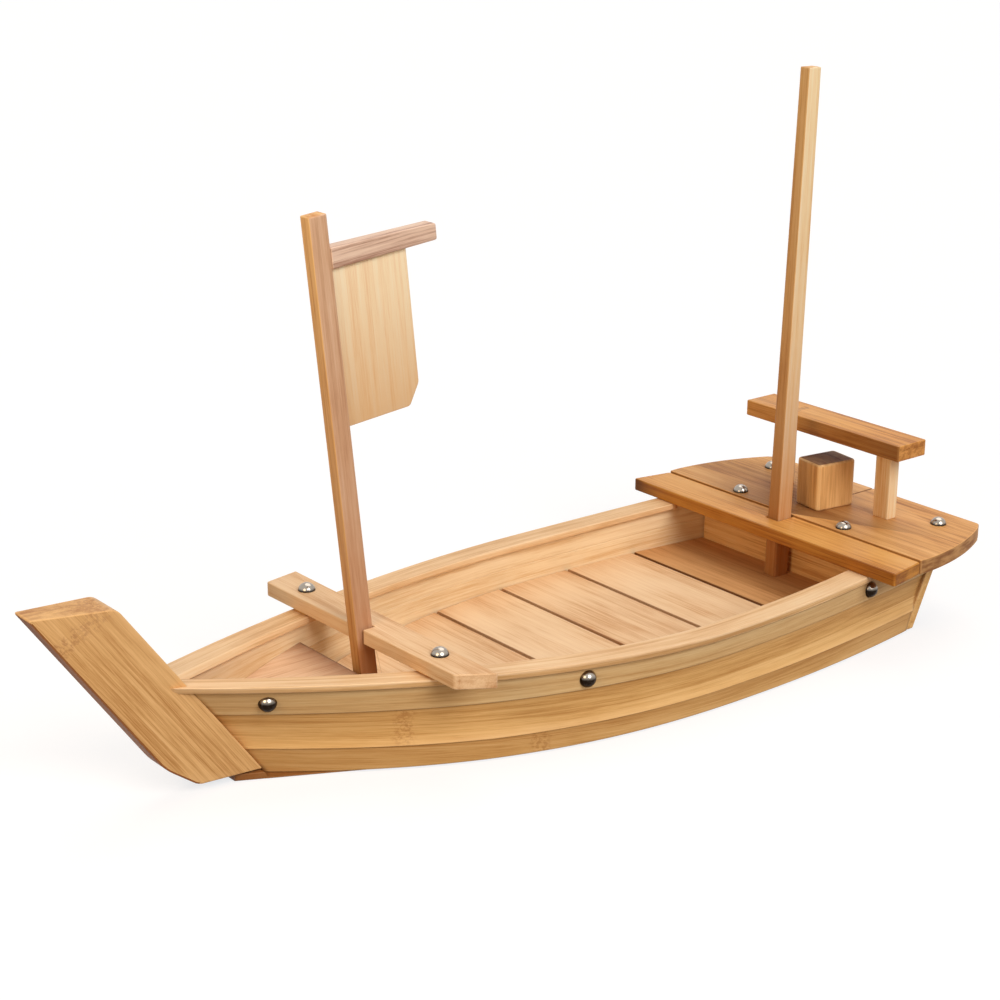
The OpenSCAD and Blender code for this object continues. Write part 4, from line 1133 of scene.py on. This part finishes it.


# Mast: a slim rounded section carried up its axis, shrinking to its share at the top. Its port and
# starboard faces have a finish of their own. It is darker towards its foot, and its port face below the
# beam carries painted shade of the beam.
def mastShape(mast, lean):
    d, w = mast["d"] / 2, mast["w"] / 2

    def place(p, q, h):
        share = rising(h - mast["taperFrom"], mast["length"] - mast["taperFrom"])
        size = 1 - (1 - mast["top"]) * share
        return lean(p * size, q * size, h)

    levels = (mast["shaded"] - mastLook["step"], mast["shaded"] + mastLook["step"], mast["taperFrom"],
              mastLook["middle"])
    shape = barShape(-d, d, -w, w, mast["foot"], mast["length"], mastLook["radius"], mastLook["ease"], "hqp",
                     mast["seed"], place=place, levels=levels)
    _, y, z = shape["points"].T
    above = z - floor["top"] - mast["shaded"]
    below = (above < 0) & (y < 1.5 - w)
    aged = mast["aged"] * np.clip(1 - above / mastLook["ageRun"], 0, 1)
    shape["stain"] = np.maximum(mastLook["below"] * below, aged)
    shape["second"] = sideFaces(np.abs(shape["facing"][:, 1]) > 0.7, mast["sides"])
    return shape


for node, mast, lean in (("front_mast", frontMast, leanFront), ("rear_mast", rearMast, leanRear)):
    addPiece(node, mastShape(mast, lean), "poleWood", node)

sail = dict(foot=158.5, h=85.5, w=47.3, thick=4, tongue=2.5, cut=7, cutH=11.5, ease=0.5, seed=39.2,
            radii=[0.9, 1.6, 1.6, 0.9, 0.9], footDarkening=0.6)
yard = dict(l=66, h=11, endH=9, w=8.8, ease=0.7, seed=40.5, radii=[0.6, 1.4, 1.4, 0.6])
sailTop = sail["foot"] + sail["h"]


# A board in the sail's plane, at the middle of the mast.
def sailPlane(corners, radii, thick, ease, order, seed):
    outline = roundOutline(corners, radii)
    return board(outline, -thick / 2, thick / 2, ease, lambda p, q, h: leanFront(p, h, q), order, seed)


# Sail: a thin board with one cut corner, paler towards its top; yard: a bar, lower at its free end.
def sailShape():
    front, rear = frontMast["d"] / 2 - sail["tongue"], frontMast["d"] / 2 + sail["w"]
    low, high = sail["foot"], sailTop + sail["tongue"]
    corners = [(front, low), (rear - sail["cut"], low), (rear, low + sail["cutH"]), (rear, high),
               (front, high)]
    shape = sailPlane(corners, sail["radii"], sail["thick"], sail["ease"], "qph", sail["seed"])
    z = shape["points"][:, 2]
    shape["stain"] = sail["footDarkening"] * (z.max() - z) / np.ptp(z)
    return shape


def yardShape():
    front = frontMast["d"] / 2
    rear = front + yard["l"]
    corners = [(front, sailTop), (rear, sailTop), (rear, sailTop + yard["endH"]),
               (front, sailTop + yard["h"])]
    return sailPlane(corners, yard["radii"], yard["w"], yard["ease"], "pqh", yard["seed"])


addPiece("sail_board", sailShape(), "sailBoard", "front_mast")
addPiece("sail_yard", yardShape(), "roseWood", "front_mast")
print("masts and sail built")

nail = dict(head=10, dome=4.4, shank=2, length=12, sideLength=7, turns=48, sideX=(-182.0, -17.0, 203.0),
            beam=((14, -1, 9.4), (11, 1, 4.4)),  # place on the beam, side, distance from the rail's edge
            frontShare=0.72, frontY=(-40.5, 49.5), rearY=(-72, 72))
nailGrimeAndPaintedLight = dict(rim=0.8, rimFrom=0.78, rimRun=0.3, downFrom=-0.5, downRun=0.4)
nailRim = np.array([(0.02, 0.16, 1.2), (0.12, 0.03, 1.5), (0.5, 0.0, 1.57)])  # set-in, height and slope


# Dome nail: a profile of dome, turned-in rim and shank, swung round the nail's axis. seats and axes give each
# nail's place and its three directions. The darkening is grime and painted contact shade at the rim, and
# painted reflection of dark surroundings on what faces the ground.
def nailShape(seats, axes, length):
    half, flat = nail["head"] / 2, nailRim[-1, 2]
    ball = (half ** 2 + nail["dome"] ** 2) / (2 * nail["dome"])
    arc = math.asin(half / ball)
    a = arc * np.linspace(0.02, 0.965, 16)
    radius = np.concatenate([ball * np.sin(a), half - nailRim[:, 0], [nail["shank"] / 2] * 2])
    rise = np.concatenate([nail["dome"] - ball + ball * np.cos(a), nailRim[:, 1], [0.0, 0.1 - length]])
    slope = np.concatenate([a, nailRim[:, 2], [flat, flat]])
    angle = np.linspace(0, 2 * math.pi, nail["turns"], endpoint=False)

    def swing(out, up):
        x, y = out[:, None] * np.cos(angle), out[:, None] * np.sin(angle)
        return np.stack([x, y, up[:, None] + 0 * angle], -1)

    local, facing = swing(radius, rise), swing(np.sin(slope), np.cos(slope))
    rim = rising(slope / arc - nailGrimeAndPaintedLight["rimFrom"], nailGrimeAndPaintedLight["rimRun"])[:, None]
    shapes = []
    for seat, axis in zip(seats, axes):
        rings = local @ axis + seat
        down = -(facing @ axis)[..., 2]
        grimeAndPaintedLight = np.clip(nailGrimeAndPaintedLight["rim"] * rim + rising(down - nailGrimeAndPaintedLight["downFrom"], nailGrimeAndPaintedLight["downRun"]), 0, 1)
        shapes.append(makeShape(rings, rings, grimeAndPaintedLight))
    return together(*shapes)


# Side nails sit halfway up the upper strake; the third axis of each is square to the side.
def sideNailFrames():
    x = np.array(nail["sideX"])
    high, low = underCap(x), upperSeam(x)
    z = (high + low) / 2
    y = sideY(x, z) - hull["upperIn"]
    slopeX = (sideY(x + 5, z) - sideY(x - 5, z)) / 10
    slopeZ = (sideY(x, high) - sideY(x, low)) / (high - low)
    seats, axes = [], []
    for sign in (-1, 1):
        out = np.stack([-slopeX, sign + 0 * x, -slopeZ], -1)
        out /= np.linalg.norm(out, axis=1, keepdims=True)
        level = np.cross(np.array([0.0, 0.0, 1.0]), out)
        level /= np.linalg.norm(level, axis=1, keepdims=True)
        seats.append(np.stack([x, sign * y, z], -1))
        axes.append(np.stack([level, np.cross(out, level), out], 1))
    return np.concatenate(seats), np.concatenate(axes)


def addNails(node, seats, axes, length=nail["length"]):
    addPiece(node, nailShape(seats, axes, length), nailSteel)


addNails("side_nails", *sideNailFrames(), nail["sideLength"])
upright = [np.eye(3)] * 4
beamSeats = [(frontBeam["x"] + x, side * (float(railY(frontBeam["x"] + x)) - inside), frontBeamTop)
             for x, side, inside in nail["beam"]]
addNails("front_beam_nails", np.array(beamSeats), upright)
deckNailX = bulkheads["sternX"] + nail["frontShare"] * bulkheads["thick"], battenX + deck["battenD"] / 4
deckSeats = [(x, y, deckTop) for x, ys in zip(deckNailX, (nail["frontY"], nail["rearY"])) for y in ys]
addNails("deck_nails", np.array(deckSeats), upright)
print("nails set")


# 1 for what the camera sees straight, mirrored or through something, 0 for light that falls on the boat
def seenMask(tree):
    path = addNode(tree, "ShaderNodeLightPath").outputs
    indirect = calc(tree, "MAXIMUM", path["Is Glossy Ray"], path["Is Transmission Ray"])
    return calc(tree, "MAXIMUM", path["Is Camera Ray"], indirect)


stage = dict(reach=25.0, drop=0.0004, matt=(0.34, 0.31, 0.28, 1), glow=(0.71, 0.735, 0.76, 1),
             sky=(1.0, 0.88, 0.76, 1), skyPower=0.22)


def makeStage():
    mesh = bpy.data.meshes.new("stageFloor")
    r, z = stage["reach"], -stage["drop"]
    mesh.from_pydata([(-r, -r, z), (r, -r, z), (r, r, z), (-r, r, z)], [], [(0, 1, 2, 3)])
    material, tree = newMaterial("stagePaper")
    matt = addNode(tree, "ShaderNodeBsdfDiffuse", {"Color": stage["matt"]})
    glow = addNode(tree, "ShaderNodeEmission", {"Color": stage["glow"], "Strength": seenMask(tree)})
    both = addNode(tree, "ShaderNodeAddShader", {0: matt.outputs[0], 1: glow.outputs[0]})
    addNode(tree, "ShaderNodeOutputMaterial", {"Surface": both.outputs[0]})
    mesh.materials.append(material)
    paper = bpy.data.objects.new("stageFloor", mesh)
    bpy.context.scene.collection.objects.link(paper)


def makeWorld():
    world = bpy.data.worlds.new("studioWhite")
    bpy.context.scene.world = world
    world.use_nodes = True
    tree = world.node_tree
    tree.nodes.clear()
    seen = seenMask(tree)
    colour = blendColour(tree, seen, stage["sky"], (1, 1, 1, 1))
    strength = ramp(tree, seen, 0.0, 1.0, stage["skyPower"], 1.0)
    back = addNode(tree, "ShaderNodeBackground", {"Color": colour, "Strength": strength})
    addNode(tree, "ShaderNodeOutputWorld", {"Surface": back.outputs[0]})


lamps = {
    "keyPort": dict(toward=(-0.05, -0.80, 0.62), strength=2.1, angle=35, colour=(1.0, 0.98, 0.97)),
    "softTop": dict(toward=(0.42, 0.25, 1.0), strength=1.0, angle=50, colour=(1.0, 0.98, 0.97)),
}
bowPanel = dict(place=(-0.85, -0.25, 0.52), aim=(-0.08, 0.0, 0.15), size=0.4, power=2.8,
                colour=(1.0, 0.76, 0.48))


# A lamp shines down its own third axis, so that axis points back at where the light comes from.
def hang(name, data, toward, place):
    toward = toward / np.linalg.norm(toward)
    sideways = np.cross([0.0, 1.0, 0.05], toward)
    sideways /= np.linalg.norm(sideways)
    put(name, data, (sideways, np.cross(toward, sideways), toward), place)


# An object in the scene with its three axes and its place.
def put(name, data, directions, place):
    item = bpy.data.objects.new(name, data)
    axes = np.eye(4)
    axes[:3, :3] = np.column_stack(directions)
    axes[:3, 3] = place
    item.matrix_world = Matrix(axes.tolist())
    bpy.context.scene.collection.objects.link(item)
    return item


def makeLamps():
    for name, lamp in lamps.items():
        data = bpy.data.lights.new(name, "SUN")
        data.energy, data.angle, data.color = lamp["strength"], math.radians(lamp["angle"]), lamp["colour"]
        hang(name, data, np.array(lamp["toward"]), (0, 0, 0))
    data = bpy.data.lights.new("bowPanel", "AREA")
    data.shape, data.size = "SQUARE", bowPanel["size"]
    data.energy, data.color = bowPanel["power"], bowPanel["colour"]
    hang("bowPanel", data, np.subtract(bowPanel["place"], bowPanel["aim"]), bowPanel["place"])


# the photograph's camera, found from straight edges; focus and picture are in pixels
view = dict(place=(-0.71404, -0.87898, 0.50031), right=(0.78122744, -0.62423111, 0.00438299),
            up=(0.19880183, 0.2554446, 0.94616377), ahead=(0.59174448, 0.73829775, -0.32365862),
            focus=2133.15, picture=1000, sensor=36.0, near=0.02, far=100.0)


def makeCamera():
    data = bpy.data.cameras.new("camera")
    data.sensor_width = view["sensor"]
    data.lens = view["focus"] / view["picture"] * view["sensor"]
    data.clip_start, data.clip_end = view["near"], view["far"]
    directions = (view["right"], view["up"], np.negative(view["ahead"]))
    bpy.context.scene.camera = put("camera", data, directions, view["place"])


makeStage()
makeWorld()
makeLamps()
makeCamera()
bpy.context.scene.view_settings.view_transform = "Standard"
print("stage, lamps and camera set")
